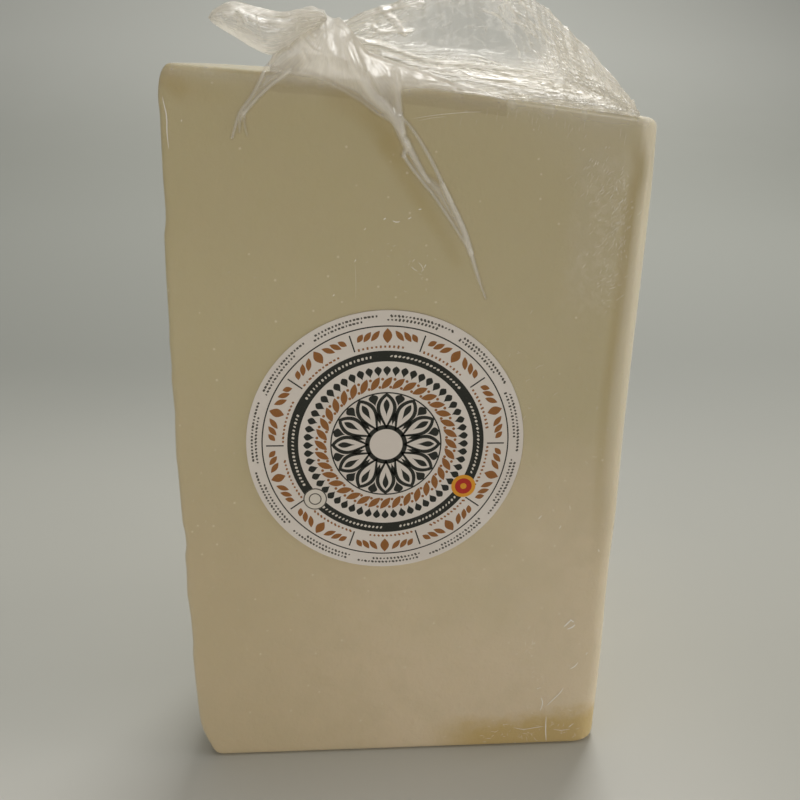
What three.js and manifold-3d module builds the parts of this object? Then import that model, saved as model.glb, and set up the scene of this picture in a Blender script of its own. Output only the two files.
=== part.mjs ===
// A quarter of a wheel of hard sheep's-milk cheese, standing on the wheel's flat face.
// The wheel was cut twice through its axis, so the piece has two flat cut faces that meet at the axis edge, a curved
// heel between them, a level foot and a top that falls from the heel to the axis edge. It is vacuum-packed in clear
// film. The film lies tight everywhere but on top, where its tail stands up as a fan and turns over into an ear, from
// which pleats run down the front cut face. A round paper label is stuck to the front.
// Millimetres, +Z up. The front cut face looks along -Y, with the heel on the left and the axis edge on the right.

import * as THREE from "three";
import { mergeVertices } from "three/addons/utils/BufferGeometryUtils.js";
import Module from "manifold-3d";

// ---- driving dimensions of the cheese ----
const WHEEL_RADIUS = 165;
const HEEL_HEIGHT = 272.5; // top of the front face at the heel
const AXIS_HEIGHT = 256.5; // top of the front face at the axis edge
const TOP_CROWN = 1.6; // how far the top edge rises over a straight line between the two
const TOP_BACK_FALL = 4; // how far the top sinks from the front face to the back
const HEEL_BULGE = 1.9; // barrel shape of the heel
const FOOT_RIM = { depth: 9, height: 20 }; // worn corner between the heel and the foot
const TOP_RIM = { depth: 4, height: 10 }; // the same at the top
const CUT_RIM = { depth: 2.2, height: 3 }; // soft edge of the cut faces at top and foot
const AXIS_EDGE_RADIUS = 9;
const HEEL_EDGE_RADIUS = 3.5;
const CUT_WAVE = 0.5; // slight unevenness left by the wire on the cut faces

// ---- driving dimensions of the label ----
const LABEL_RADIUS = 51.3;
const LABEL_THICKNESS = 0.35;
const LABEL_CENTRE = { x: -7.8, z: 139.6 };
const TOUCH_GAP = 0.3; // between pieces that touch

// ---- driving dimensions of the loose film ----
const FILM_SUNK = 2; // how far the loose film's blank solids reach into the cheese before they are cut to it
const FAN_LEAST = 0.8; // thickness of the fan along its border
const FAN_STATIONS = 34;
const FAN_ACROSS = 11; // points from the fan's border to its ridge
const FAN_FLANK = 1.35; // above 1 the fan's sides are hollow
const FAN_FRONT = 1; // depth of its front border
const FAN_BACK = { least: 12, spread: 1.5, clear: 8 }; // its back border: past the ridge, per rise, and off the heel

// The fan's ridge from the axis edge to behind the ear: x, depth behind the front face, height above the foot.
const FAN_RIDGE = [
  { x: 78.5, depth: 7, high: 258 },
  { x: 75.8, depth: 10, high: 262.5 },
  { x: 71.5, depth: 19, high: 269.5 },
  { x: 65, depth: 31, high: 277.5 },
  { x: 56, depth: 41, high: 286.5 },
  { x: 45, depth: 49, high: 294.8 },
  { x: 31, depth: 52, high: 299 },
  { x: 15, depth: 50, high: 297 },
  { x: -1, depth: 44, high: 293 },
  { x: -13, depth: 37, high: 289.2 },
  { x: -25, depth: 28, high: 285 },
  { x: -37, depth: 20, high: 279 },
  { x: -47, depth: 14, high: 271.5 },
];
// The ear along x: heights above the foot of its upper and lower outline, and its depth from front to back.
const EAR = [
  { x: -65.6, low: 285.4, high: 286.8, front: -2, back: 0 },
  { x: -63, low: 283.6, high: 289.2, front: -5, back: 3 },
  { x: -58.5, low: 281, high: 291.2, front: -7, back: 5 },
  { x: -53, low: 277.8, high: 290.2, front: -7.5, back: 7 },
  { x: -47, low: 275.2, high: 288.8, front: -7, back: 10 },
  { x: -42, low: 269, high: 288.4, front: -6.5, back: 13 },
  { x: -34, low: 266, high: 290, front: -6, back: 17 },
  { x: -27.5, low: 266, high: 288.4, front: -5.5, back: 20 },
  { x: -20, low: 265, high: 281.5, front: -5, back: 20 },
  { x: -12, low: 264, high: 275.8, front: -4, back: 18 },
  { x: -3, low: 262, high: 272.8, front: -3.2, back: 14 },
  { x: 8, low: 261, high: 269.2, front: -2.4, back: 10 },
  { x: 19, low: 260, high: 265.8, front: -1.6, back: 7 },
  { x: 29, low: 259, high: 262.9, front: -0.8, back: 5 },
];
const EAR_SIDES = 16;
// Each pleat: its ridge from the top edge down the front face, its half width and its relief at the two ends.
const PLEATS = [
  { from: [-41, 272], bow: [-50, 263], to: [-59, 250.5], half: [6.5, 0.8], relief: [4.5, 0.8] },
  { from: [-9, 268], bow: [2, 240], to: [26.5, 196], half: [7, 0.8], relief: [5, 0.8] },
  { from: [0, 264], bow: [3, 247], to: [20.5, 213], half: [3, 0.8], relief: [3.4, 0.8] },
];
const PLEAT_STATIONS = 14;
const PLEAT_SIDES = 10;
// The apron of film that hangs over the top edge between the pleats: its outline on the front face.
const APRON = { left: -47, right: 2, arch: 268.5, footX: -3, foot: 246, overTop: 1.5, relief: 1.6 };

// ---- driving numbers of the mesh ----
const FRONT_STEPS = 18;
const SIDE_STEPS = 12;
const HEEL_STEPS = 22;
const EDGE_STEPS = 5;
const CAP_RINGS = [0.7, 0.35];
const BODY_LEVELS = 15;

// ---- colours ----
const COLOURS = { cheese: 0xdcd2ac, film: 0xe6e4dd, label: 0xe4dfda };

const CUT_FRONT = -WHEEL_RADIUS / 2; // y of the front cut face
const AXIS = new THREE.Vector2(WHEEL_RADIUS / 2, CUT_FRONT); // plan position of the wheel's axis

const lerp = THREE.MathUtils.lerp;

// Height of the cheese over a point of its plan.
function topHeight(x, y) {
  const across = (x - AXIS.x + WHEEL_RADIUS) / WHEEL_RADIUS;
  const back = (y - CUT_FRONT) / WHEEL_RADIUS;
  const crown = TOP_CROWN * Math.sin(Math.PI * THREE.MathUtils.clamp(across, 0, 1));
  return lerp(HEEL_HEIGHT, AXIS_HEIGHT, across) + crown - TOP_BACK_FALL * back;
}

// How far an elliptical corner draws a side in, at a distance from the face that ends it.
function cornerInset(rim, distance) {
  const t = THREE.MathUtils.clamp(1 - distance / rim.height, 0, 1);
  return rim.depth * (1 - Math.sqrt(1 - t * t));
}

// Plan outline of the quarter wheel, anticlockwise seen from above, always with the same number of points.
function quarterOutline(radius, inset) {
  const corner = new THREE.Vector2(AXIS.x - inset, AXIS.y + inset);
  const r = radius - inset;
  const e = HEEL_EDGE_RADIUS;
  const run = Math.sqrt((r - e) ** 2 - e ** 2);
  const lean = Math.atan2(e, run);
  const a = AXIS_EDGE_RADIUS;
  const path = new THREE.Path();
  path.moveTo(corner.x - run, corner.y);
  path.lineTo(corner.x - a, corner.y);
  path.absarc(corner.x - a, corner.y + a, a, -Math.PI / 2, 0, false);
  path.lineTo(corner.x, corner.y + run);
  path.absarc(corner.x - e, corner.y + run, e, 0, Math.PI / 2 + lean, false);
  path.absarc(corner.x, corner.y, r, Math.PI / 2 + lean, Math.PI - lean, false);
  path.absarc(corner.x - run, corner.y + e, e, Math.PI - lean, 1.5 * Math.PI, false);
  const steps = [FRONT_STEPS, EDGE_STEPS, SIDE_STEPS, EDGE_STEPS, HEEL_STEPS, EDGE_STEPS];
  const drawn = path.curves.filter((curve) => curve.getLength() > 1e-6);
  return drawn.flatMap((curve, i) => curve.getPoints(steps[i]).slice(0, -1));
}

// Unevenness of the cut faces, faded out under the label and at the edges of the face.
function cutWave(x, z) {
  const fromLabel = Math.hypot(x - LABEL_CENTRE.x, z - LABEL_CENTRE.z) / LABEL_RADIUS;
  const clear = THREE.MathUtils.smoothstep(fromLabel, 1.1, 1.6);
  const inside = THREE.MathUtils.smoothstep(WHEEL_RADIUS / 2 - Math.abs(x), 4, 16);
  return CUT_WAVE * clear * inside * Math.sin(x / 19 + 1) * Math.sin(z / 27 + x / 60);
}

// A closed mesh through rings of equal length, from the first ring's cap to the last one's.
function loft(rings) {
  const count = rings[0].length;
  const points = rings.flat();
  const index = [];
  for (let k = 0; k + 1 < rings.length; k++)
    for (let i = 0; i < count; i++) {
      const j = (i + 1) % count;
      const [a, b, c, d] = [k * count + i, k * count + j, (k + 1) * count + j, (k + 1) * count + i];
      index.push(a, b, c, a, c, d);
    }
  for (const [k, flip] of [[0, true], [rings.length - 1, false]]) {
    const centre = new THREE.Vector3();
    rings[k].forEach((p) => centre.addScaledVector(p, 1 / count));
    points.push(centre);
    for (let i = 0; i < count; i++) {
      const [a, b] = [k * count + i, k * count + ((i + 1) % count)];
      index.push(...(flip ? [b, a] : [a, b]), points.length - 1);
    }
  }
  return new THREE.BufferGeometry().setFromPoints(points).setIndex(index);
}

// The cheese, grown by a margin on every face but the foot.
function quarterWheel(grow = 0) {
  const reference = HEEL_HEIGHT;
  const rimSteps = [0, 0.12, 0.3, 0.55, 1];
  const low = rimSteps.map((s) => (s * FOOT_RIM.height) / reference);
  const high = rimSteps.map((s) => 1 - (s * TOP_RIM.height) / reference).reverse();
  const body = Array.from({ length: BODY_LEVELS }, (_, i) =>
    lerp(low.at(-1), high[0], (i + 1) / (BODY_LEVELS + 1)),
  );
  const softLow = [0.25, 0.6, 1].map((s) => (s * CUT_RIM.height) / reference);
  const softHigh = softLow.map((s) => 1 - s);
  const levels = [...new Set([...low, ...softLow, ...body, ...high, ...softHigh])].sort((a, b) => a - b);
  const ringAt = (share) => {
    const z = share * reference;
    const fromTop = reference - z;
    const radius =
      WHEEL_RADIUS +
      HEEL_BULGE * Math.sin(Math.PI * share) -
      cornerInset(FOOT_RIM, z) -
      cornerInset(TOP_RIM, fromTop);
    const inset = cornerInset(CUT_RIM, z) + cornerInset(CUT_RIM, fromTop);
    return quarterOutline(radius, inset - grow).map(({ x, y }) => {
      const level = share * (topHeight(x, y) + grow);
      const onFront = y < CUT_FRONT + inset - grow + 1e-6;
      return new THREE.Vector3(x, y - (onFront ? cutWave(x, level) : 0), level);
    });
  };
  const rings = levels.map(ringAt);
  const capRings = (ring, height) => {
    const centre = new THREE.Vector3();
    ring.forEach((p) => centre.addScaledVector(p, 1 / ring.length));
    return CAP_RINGS.map((share) =>
      ring.map((p) => {
        const x = lerp(centre.x, p.x, share);
        const y = lerp(centre.y, p.y, share);
        return new THREE.Vector3(x, y, height(x, y));
      }),
    );
  };
  const foot = capRings(rings[0], () => 0).reverse();
  const top = capRings(rings.at(-1), (x, y) => topHeight(x, y) + grow);
  return loft([...foot, ...rings, ...top]);
}

// The fan: the bag's tail, a hollow-sided tent over the top whose ridge runs from the axis edge to behind the ear.
function fan() {
  const along = new THREE.CatmullRomCurve3(FAN_RIDGE.map((p) => new THREE.Vector3(p.x, p.depth, p.high)));
  const ringAt = (t) => {
    const { x, y: ridge, z: high } = along.getPoint(t);
    const least = TOUCH_GAP + FAN_LEAST;
    const rise = Math.max(high - topHeight(x, CUT_FRONT + ridge) - least, 0);
    const reach = Math.sqrt(WHEEL_RADIUS ** 2 - (AXIS.x - x) ** 2);
    const back = Math.min(reach - FAN_BACK.clear, ridge + FAN_BACK.least + FAN_BACK.spread * rise);
    const upper = [];
    for (let i = -FAN_ACROSS; i <= FAN_ACROSS; i++) {
      const s = i / FAN_ACROSS;
      const depth = s < 0 ? lerp(ridge, FAN_FRONT, -s) : lerp(ridge, back, s);
      const y = CUT_FRONT + depth;
      const height = least + rise * (1 - Math.abs(s)) ** FAN_FLANK;
      upper.push(new THREE.Vector3(x, y, topHeight(x, y) + height));
    }
    const lower = upper.map((p) => new THREE.Vector3(p.x, p.y, topHeight(p.x, p.y) - FILM_SUNK)).reverse();
    return [...upper, ...lower];
  };
  return loft(Array.from({ length: FAN_STATIONS + 1 }, (_, i) => ringAt(i / FAN_STATIONS)));
}

// The ear: the end of the tail, turned over the front edge and blown out to the left.
function ear() {
  const rings = EAR.map(({ x, low, high, front, back }) =>
    Array.from({ length: EAR_SIDES }, (_, i) => {
      const turn = (2 * Math.PI * i) / EAR_SIDES;
      const y = CUT_FRONT + lerp(front, back, (1 - Math.cos(turn)) / 2);
      return new THREE.Vector3(x, y, lerp(low, high, (1 - Math.sin(turn)) / 2));
    }),
  );
  return loft(rings);
}

// One pleat: a tapering ridge of folded film on the front face.
function pleat({ from, bow, to, half, relief }) {
  const run = new THREE.QuadraticBezierCurve(...[from, bow, to].map((p) => new THREE.Vector2(...p)));
  const rings = Array.from({ length: PLEAT_STATIONS + 1 }, (_, k) => {
    const t = k / PLEAT_STATIONS;
    const [at, along] = [run.getPoint(t), run.getTangent(t)];
    const [width, height] = [lerp(...half, t), lerp(...relief, t)];
    return Array.from({ length: PLEAT_SIDES }, (_, i) => {
      const turn = (2 * Math.PI * i) / PLEAT_SIDES;
      const [across, out] = [width * Math.cos(turn), height * Math.sin(turn)];
      return new THREE.Vector3(at.x - along.y * across, CUT_FRONT - out, at.y + along.x * across);
    });
  });
  return loft(rings);
}

// The apron: a thin sheet over the front edge, open below in an arch between the pleats.
function apron() {
  const { left, right, arch, foot, footX, overTop, relief } = APRON;
  const outline = new THREE.Shape();
  outline.moveTo(left, topHeight(left, CUT_FRONT) + overTop);
  outline.lineTo(left, arch);
  outline.quadraticCurveTo(lerp(left, footX, 0.6), arch + 2, footX, foot);
  outline.lineTo(right, topHeight(right, CUT_FRONT) + overTop);
  outline.closePath();
  const depth = relief + FILM_SUNK + CUT_RIM.depth;
  const sheet = new THREE.ExtrudeGeometry(outline, { depth, bevelEnabled: false, curveSegments: 8 });
  sheet.rotateX(Math.PI / 2);
  return sheet.translate(0, CUT_FRONT + FILM_SUNK + CUT_RIM.depth, 0);
}

const wasm = await Module();
wasm.setup();

// A closed geometry as a solid that can be joined and cut.
function solidOf(geometry) {
  const bare = geometry.clone();
  for (const name of ["normal", "uv"]) bare.deleteAttribute(name);
  const merged = mergeVertices(bare, 1e-4);
  const solid = new wasm.Manifold(
    new wasm.Mesh({
      numProp: 3,
      vertProperties: merged.getAttribute("position").array,
      triVerts: new Uint32Array(merged.index.array),
    }),
  );
  return solid.volume() < 0 ? solidOf(turnedInsideOut(merged)) : solid;
}

// The same geometry with every face turned round.
function turnedInsideOut(geometry) {
  const index = Array.from(geometry.index.array);
  for (let i = 0; i < index.length; i += 3) [index[i + 1], index[i + 2]] = [index[i + 2], index[i + 1]];
  return geometry.clone().setIndex(index);
}

// A solid back as a geometry.
function geometryOf(solid) {
  const { vertProperties, triVerts } = solid.getMesh();
  return new THREE.BufferGeometry()
    .setAttribute("position", new THREE.BufferAttribute(vertProperties, 3))
    .setIndex(new THREE.BufferAttribute(triVerts, 1));
}

// The loose film: fan, ear, apron and pleats in one, cut back to a small gap from the cheese.
function looseFilm() {
  const pieces = [fan(), ear(), apron(), ...PLEATS.map(pleat)].map(solidOf);
  const joined = pieces.reduce((sum, piece) => sum.add(piece));
  const cut = joined.subtract(solidOf(quarterWheel(TOUCH_GAP)));
  const largest = cut.decompose().sort((a, b) => b.volume() - a.volume())[0];
  return geometryOf(largest);
}

// The label: a thin paper disc just clear of the front face.
function labelDisc() {
  const outline = new THREE.Shape().absarc(0, 0, LABEL_RADIUS, 0, 2 * Math.PI, false);
  const disc = new THREE.ExtrudeGeometry(outline, {
    depth: LABEL_THICKNESS,
    bevelEnabled: false,
    curveSegments: 40,
  });
  disc.rotateX(Math.PI / 2);
  return disc.translate(LABEL_CENTRE.x, CUT_FRONT - TOUCH_GAP, LABEL_CENTRE.z);
}

// A named piece with its own material.
function piece(name, geometry, color, roughness) {
  const material = new THREE.MeshStandardMaterial({ color, roughness, metalness: 0 });
  const mesh = new THREE.Mesh(geometry, material);
  mesh.name = name;
  mesh.geometry.computeVertexNormals();
  return mesh;
}

const cheese = piece("cheese", quarterWheel(), COLOURS.cheese, 0.6);
const film = piece("film", looseFilm(), COLOURS.film, 0.12);
const label = piece("label", labelDisc(), COLOURS.label, 0.5);

const pack = new THREE.Group();
pack.add(cheese, film, label);

// The origin is the middle of the foot of the whole part's box.
const box = new THREE.Box3().setFromObject(pack, true);
const middle = box.getCenter(new THREE.Vector3());
pack.position.set(-middle.x, -middle.y, -box.min.z);

export default pack;
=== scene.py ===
"""The looks of a vacuum-packed quarter wheel of hard sheep's-milk cheese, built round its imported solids.

Sizes are in millimetres in the piece's own frame: x to the right, depth back from the front cut face, z up
from the foot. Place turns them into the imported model's frame, in metres. The classes that build pieces are:

    Cheese, TightFilm, Wrinkles    the block and the film that lies on it
    Fan, Curtain, Ear              the loose film on top, with its apron and pleats down the front
    Label                          the paper label and its print
    Studio                         floor, lights and camera
"""

import logging
import math
from collections.abc import Callable
from dataclasses import dataclass
from enum import Enum

import bpy
import numpy as np
from mathutils import Matrix, Vector


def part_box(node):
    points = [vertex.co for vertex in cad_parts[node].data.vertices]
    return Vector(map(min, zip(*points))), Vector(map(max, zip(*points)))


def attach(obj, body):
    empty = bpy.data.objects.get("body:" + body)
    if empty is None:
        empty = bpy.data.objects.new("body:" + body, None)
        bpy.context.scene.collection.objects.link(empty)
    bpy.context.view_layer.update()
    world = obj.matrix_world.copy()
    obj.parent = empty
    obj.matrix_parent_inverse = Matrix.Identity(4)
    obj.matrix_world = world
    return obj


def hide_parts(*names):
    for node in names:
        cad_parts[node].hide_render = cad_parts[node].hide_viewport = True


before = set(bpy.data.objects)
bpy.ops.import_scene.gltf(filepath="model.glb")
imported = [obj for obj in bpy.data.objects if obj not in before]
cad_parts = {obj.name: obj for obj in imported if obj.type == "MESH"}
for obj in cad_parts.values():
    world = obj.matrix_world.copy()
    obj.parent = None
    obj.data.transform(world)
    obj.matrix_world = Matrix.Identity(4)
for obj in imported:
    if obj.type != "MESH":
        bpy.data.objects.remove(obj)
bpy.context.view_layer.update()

LOG = logging.getLogger("scene")
MM = 0.001
BODY = "root"

Pair = tuple[float, float]
Line = tuple[Pair, ...]
Colour = tuple[float, float, float, float]
Faces = list[np.ndarray]


# ---- Small tools: smooth steps, noise and meshes from arrays ----

CELL_PRIMES = np.array([374761393, 668265263, 2147483647])
SEED_PRIME = 1442695041
MIX_PRIME = 1274126177
LAST_VALUE = 0xFFFFF


def smooth(low: float | np.ndarray, high: float | np.ndarray, value: np.ndarray) -> np.ndarray:
    """A soft step.

    Args:
        low: where the step starts, at 0.
        high: where it ends, at 1. It may be below low, for a falling step.
        value: where it is read.

    Returns:
        The step's height at each value.
    """
    t = np.clip((value - low) / (high - low), 0.0, 1.0)
    return t * t * (3.0 - 2.0 * t)


def bell(offset: np.ndarray, width: float | np.ndarray) -> np.ndarray:
    """A soft hump that is 1 where the offset is 0."""
    return np.exp(-((offset / width) ** 2))


def between(ends: Pair, share: np.ndarray) -> np.ndarray:
    """The value at a share of the way from the first end to the second."""
    return ends[0] + (ends[1] - ends[0]) * share


def screened(first: np.ndarray, second: np.ndarray) -> np.ndarray:
    """How milky two layers are together."""
    return 1.0 - (1.0 - first) * (1.0 - second)


def stack(*columns: np.ndarray | float) -> np.ndarray:
    """Positions whose coordinates are arrays of matching shapes."""
    return np.stack(np.broadcast_arrays(*columns), axis=-1)


def lattice(cell: np.ndarray, seed: int) -> np.ndarray:
    """A fixed random number for each cell of a lattice.

    Args:
        cell: whole-number cell coordinates, along the last axis.
        seed: picks one of many lattices.

    Returns:
        Numbers from -1 to 1, one for each cell.
    """
    mixed = cell.astype(np.int64) @ CELL_PRIMES[: cell.shape[-1]] + seed * SEED_PRIME
    mixed = (mixed ^ (mixed >> 13)) * MIX_PRIME
    mixed = mixed ^ (mixed >> 16)
    return (mixed & LAST_VALUE) / float(LAST_VALUE) * 2.0 - 1.0


def noise(points: np.ndarray, seed: int) -> np.ndarray:
    """Smooth noise with features about one unit across.

    Args:
        points: positions, with 2 or 3 coordinates along the last axis.
        seed: picks the pattern.

    Returns:
        Numbers from about -1 to 1, one for each position.
    """
    base = np.floor(points)
    t = points - base
    t = t * t * t * (t * (t * 6.0 - 15.0) + 10.0)
    total = np.zeros(points.shape[:-1])
    for corner in range(2 ** points.shape[-1]):
        bits = np.array([(corner >> k) & 1 for k in range(points.shape[-1])])
        weight = np.prod(np.where(bits, t, 1.0 - t), axis=-1)
        total += weight * lattice(base + bits, seed)
    return total


def layers(points: np.ndarray, seed: int, count: int) -> np.ndarray:
    """Several layers of noise, each twice as fine as the last and half as high.

    Args:
        points: positions, with their coordinates along the last axis.
        seed: picks the pattern.
        count: how many layers.

    Returns:
        Numbers from about -1 to 1, one for each position.
    """
    total = sum(0.5**k * noise(points * 2.0**k + 17.3 * k, seed + k) for k in range(count))
    return total / sum(0.5**k for k in range(count))


def creases(points: np.ndarray, seed: int, count: int, gain: float = 0.55) -> np.ndarray:
    """Sharp ridges between smooth hollows, as in crumpled film.

    Args:
        points: positions, with their coordinates along the last axis.
        seed: picks the pattern.
        count: how many layers, each twice as fine as the last.
        gain: height of each layer as a share of the last.

    Returns:
        Numbers from 0 to 1, one for each position, with the ridges near 1.
    """
    total = np.zeros(points.shape[:-1])
    for k in range(count):
        total += gain**k * (1.0 - np.abs(noise(points * 2.0**k + 9.1 * k, seed + k))) ** 3
    return total / sum(gain**k for k in range(count))


def through(knots: np.ndarray, t: np.ndarray) -> np.ndarray:
    """A smooth curve through knots.

    Args:
        knots: one row for each knot.
        t: where it is read, from 0 at the first knot to 1 at the last.

    Returns:
        One row for each t.
    """
    count = len(knots) - 1
    k = np.clip(np.floor(t * count).astype(int), 0, count - 1)
    s = (t * count - k)[:, None]
    tangent = np.gradient(knots, axis=0)
    a, b, ta, tb = knots[k], knots[k + 1], tangent[k], tangent[k + 1]
    start = (2 * s**3 - 3 * s**2 + 1) * a + (s**3 - 2 * s**2 + s) * ta
    return start + (-2 * s**3 + 3 * s**2) * b + (s**3 - s**2) * tb


def grid_faces(rows: int, columns: int, closed: bool) -> np.ndarray:
    """Quads between neighbouring points of a grid.

    Args:
        rows: how many rows of points.
        columns: how many points in a row.
        closed: whether each row's last point joins its first.

    Returns:
        One row of four point numbers for each quad.
    """
    across = np.arange(columns if closed else columns - 1)
    a = (np.arange(rows - 1)[:, None] * columns + across).ravel()
    b = (np.arange(rows - 1)[:, None] * columns + (across + 1) % columns).ravel()
    return np.stack([a, b, b + columns, a + columns], axis=1)


def mesh_object(name: str, points: np.ndarray, faces: Faces, soft: bool = True) -> bpy.types.Object:
    """A mesh object in the scene, at the origin.

    Args:
        name: the object's name.
        points: positions along the last axis.
        faces: arrays of point numbers, one row for each face, each array with faces of one size.
        soft: whether the faces are shaded smooth.

    Returns:
        The object.
    """
    mesh = bpy.data.meshes.new(name)
    mesh.vertices.add(points.size // 3)
    mesh.vertices.foreach_set("co", np.asarray(points, np.float32).ravel())
    sizes = np.concatenate([np.full(len(part), part.shape[1]) for part in faces])
    mesh.loops.add(int(sizes.sum()))
    mesh.loops.foreach_set("vertex_index", np.concatenate([part.ravel() for part in faces]).astype(np.int32))
    mesh.polygons.add(len(sizes))
    starts = np.concatenate([[0], np.cumsum(sizes)[:-1]])
    mesh.polygons.foreach_set("loop_start", starts.astype(np.int32))
    mesh.polygons.foreach_set("use_smooth", np.full(len(sizes), soft))
    mesh.update(calc_edges=True)
    mesh.validate()
    made = bpy.data.objects.new(name, mesh)
    bpy.context.scene.collection.objects.link(made)
    return made


def paint(made: bpy.types.Object, **values: np.ndarray | float) -> None:
    """Stores numbers on a mesh's points, for its material to read.

    Args:
        made: the object.
        **values: for each attribute's name, a number for each point, or one for all.
    """
    for name, value in values.items():
        every = np.empty(len(made.data.vertices), np.float32)
        every[:] = np.ravel(value)
        made.data.attributes.new(name, "FLOAT", "POINT").data.foreach_set("value", every)


def finish_piece(made: bpy.types.Object, material: bpy.types.Material, slot: str, *nodes: str) -> None:
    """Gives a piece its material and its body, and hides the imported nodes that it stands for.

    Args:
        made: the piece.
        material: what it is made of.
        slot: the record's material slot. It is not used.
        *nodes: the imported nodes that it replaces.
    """
    made.data.materials.clear()
    made.data.materials.append(material)
    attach(made, BODY)
    if nodes:
        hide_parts(*nodes)
    LOG.info("%s: %d faces", made.name, len(made.data.polygons))


# ---- Shader maths ----

MIX_LOW, MIX_HIGH, MIX_RESULT = 6, 7, 2  # the Mix node's sockets for colours


def operator(operation: str, reflected: bool = False) -> Callable[..., "Sock"]:
    """Makes a method that adds a Math node.

    Args:
        operation: the node's operation.
        reflected: whether the other value comes first.

    Returns:
        The method.
    """

    def method(sock: "Sock", *others: "Sock | float") -> "Sock":
        """The node's output."""
        return sock.nodes.maths(operation, *((*others, sock) if reflected else (sock, *others)))

    return method


class Sock:
    """An output socket that can stand in Python expressions on numbers."""

    def __init__(self, nodes: "Nodes", socket: bpy.types.NodeSocket) -> None:
        """Keeps the tree and the socket."""
        self.nodes = nodes
        self.socket = socket

    __add__ = operator("ADD")
    __radd__ = operator("ADD", reflected=True)
    __sub__ = operator("SUBTRACT")
    __rsub__ = operator("SUBTRACT", reflected=True)
    __mul__ = operator("MULTIPLY")
    __rmul__ = operator("MULTIPLY", reflected=True)
    __truediv__ = operator("DIVIDE")
    __pow__ = operator("POWER")
    __abs__ = operator("ABSOLUTE")
    least = operator("MINIMUM")

    def step(self, low: float, high: float) -> "Sock":
        """A soft step from 0 at low to 1 at high.

        Args:
            low: where the step starts.
            high: where it ends. It may be below low.

        Returns:
            The step.
        """
        if low > high:
            return 1.0 - self.step(high, low)
        inputs = {"Value": self, "From Min": low, "From Max": high}
        return self.nodes.node("ShaderNodeMapRange", {"interpolation_type": "SMOOTHSTEP"}, inputs)


class Nodes:
    """A node tree that is built by expressions."""

    def __init__(self, tree: bpy.types.NodeTree) -> None:
        """Keeps the tree."""
        self.tree = tree

    def node(self, kind: str, settings: dict, inputs: dict, output: int | str = 0) -> Sock:
        """A node with its settings, then its inputs.

        Args:
            kind: the node's type.
            settings: attribute values, set first.
            inputs: socket names or numbers, with a value or a Sock for each.
            output: which output is returned.

        Returns:
            The output.
        """
        made = self.tree.nodes.new(kind)
        for key, value in settings.items():
            setattr(made, key, value)
        for key, value in inputs.items():
            if isinstance(value, Sock):
                self.tree.links.new(value.socket, made.inputs[key])
            else:
                made.inputs[key].default_value = value
        return Sock(self, made.outputs[output])

    def maths(self, operation: str, *values: Sock | float) -> Sock:
        """A Math node on values, in their order."""
        return self.node("ShaderNodeMath", {"operation": operation}, dict(enumerate(values)))


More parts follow.
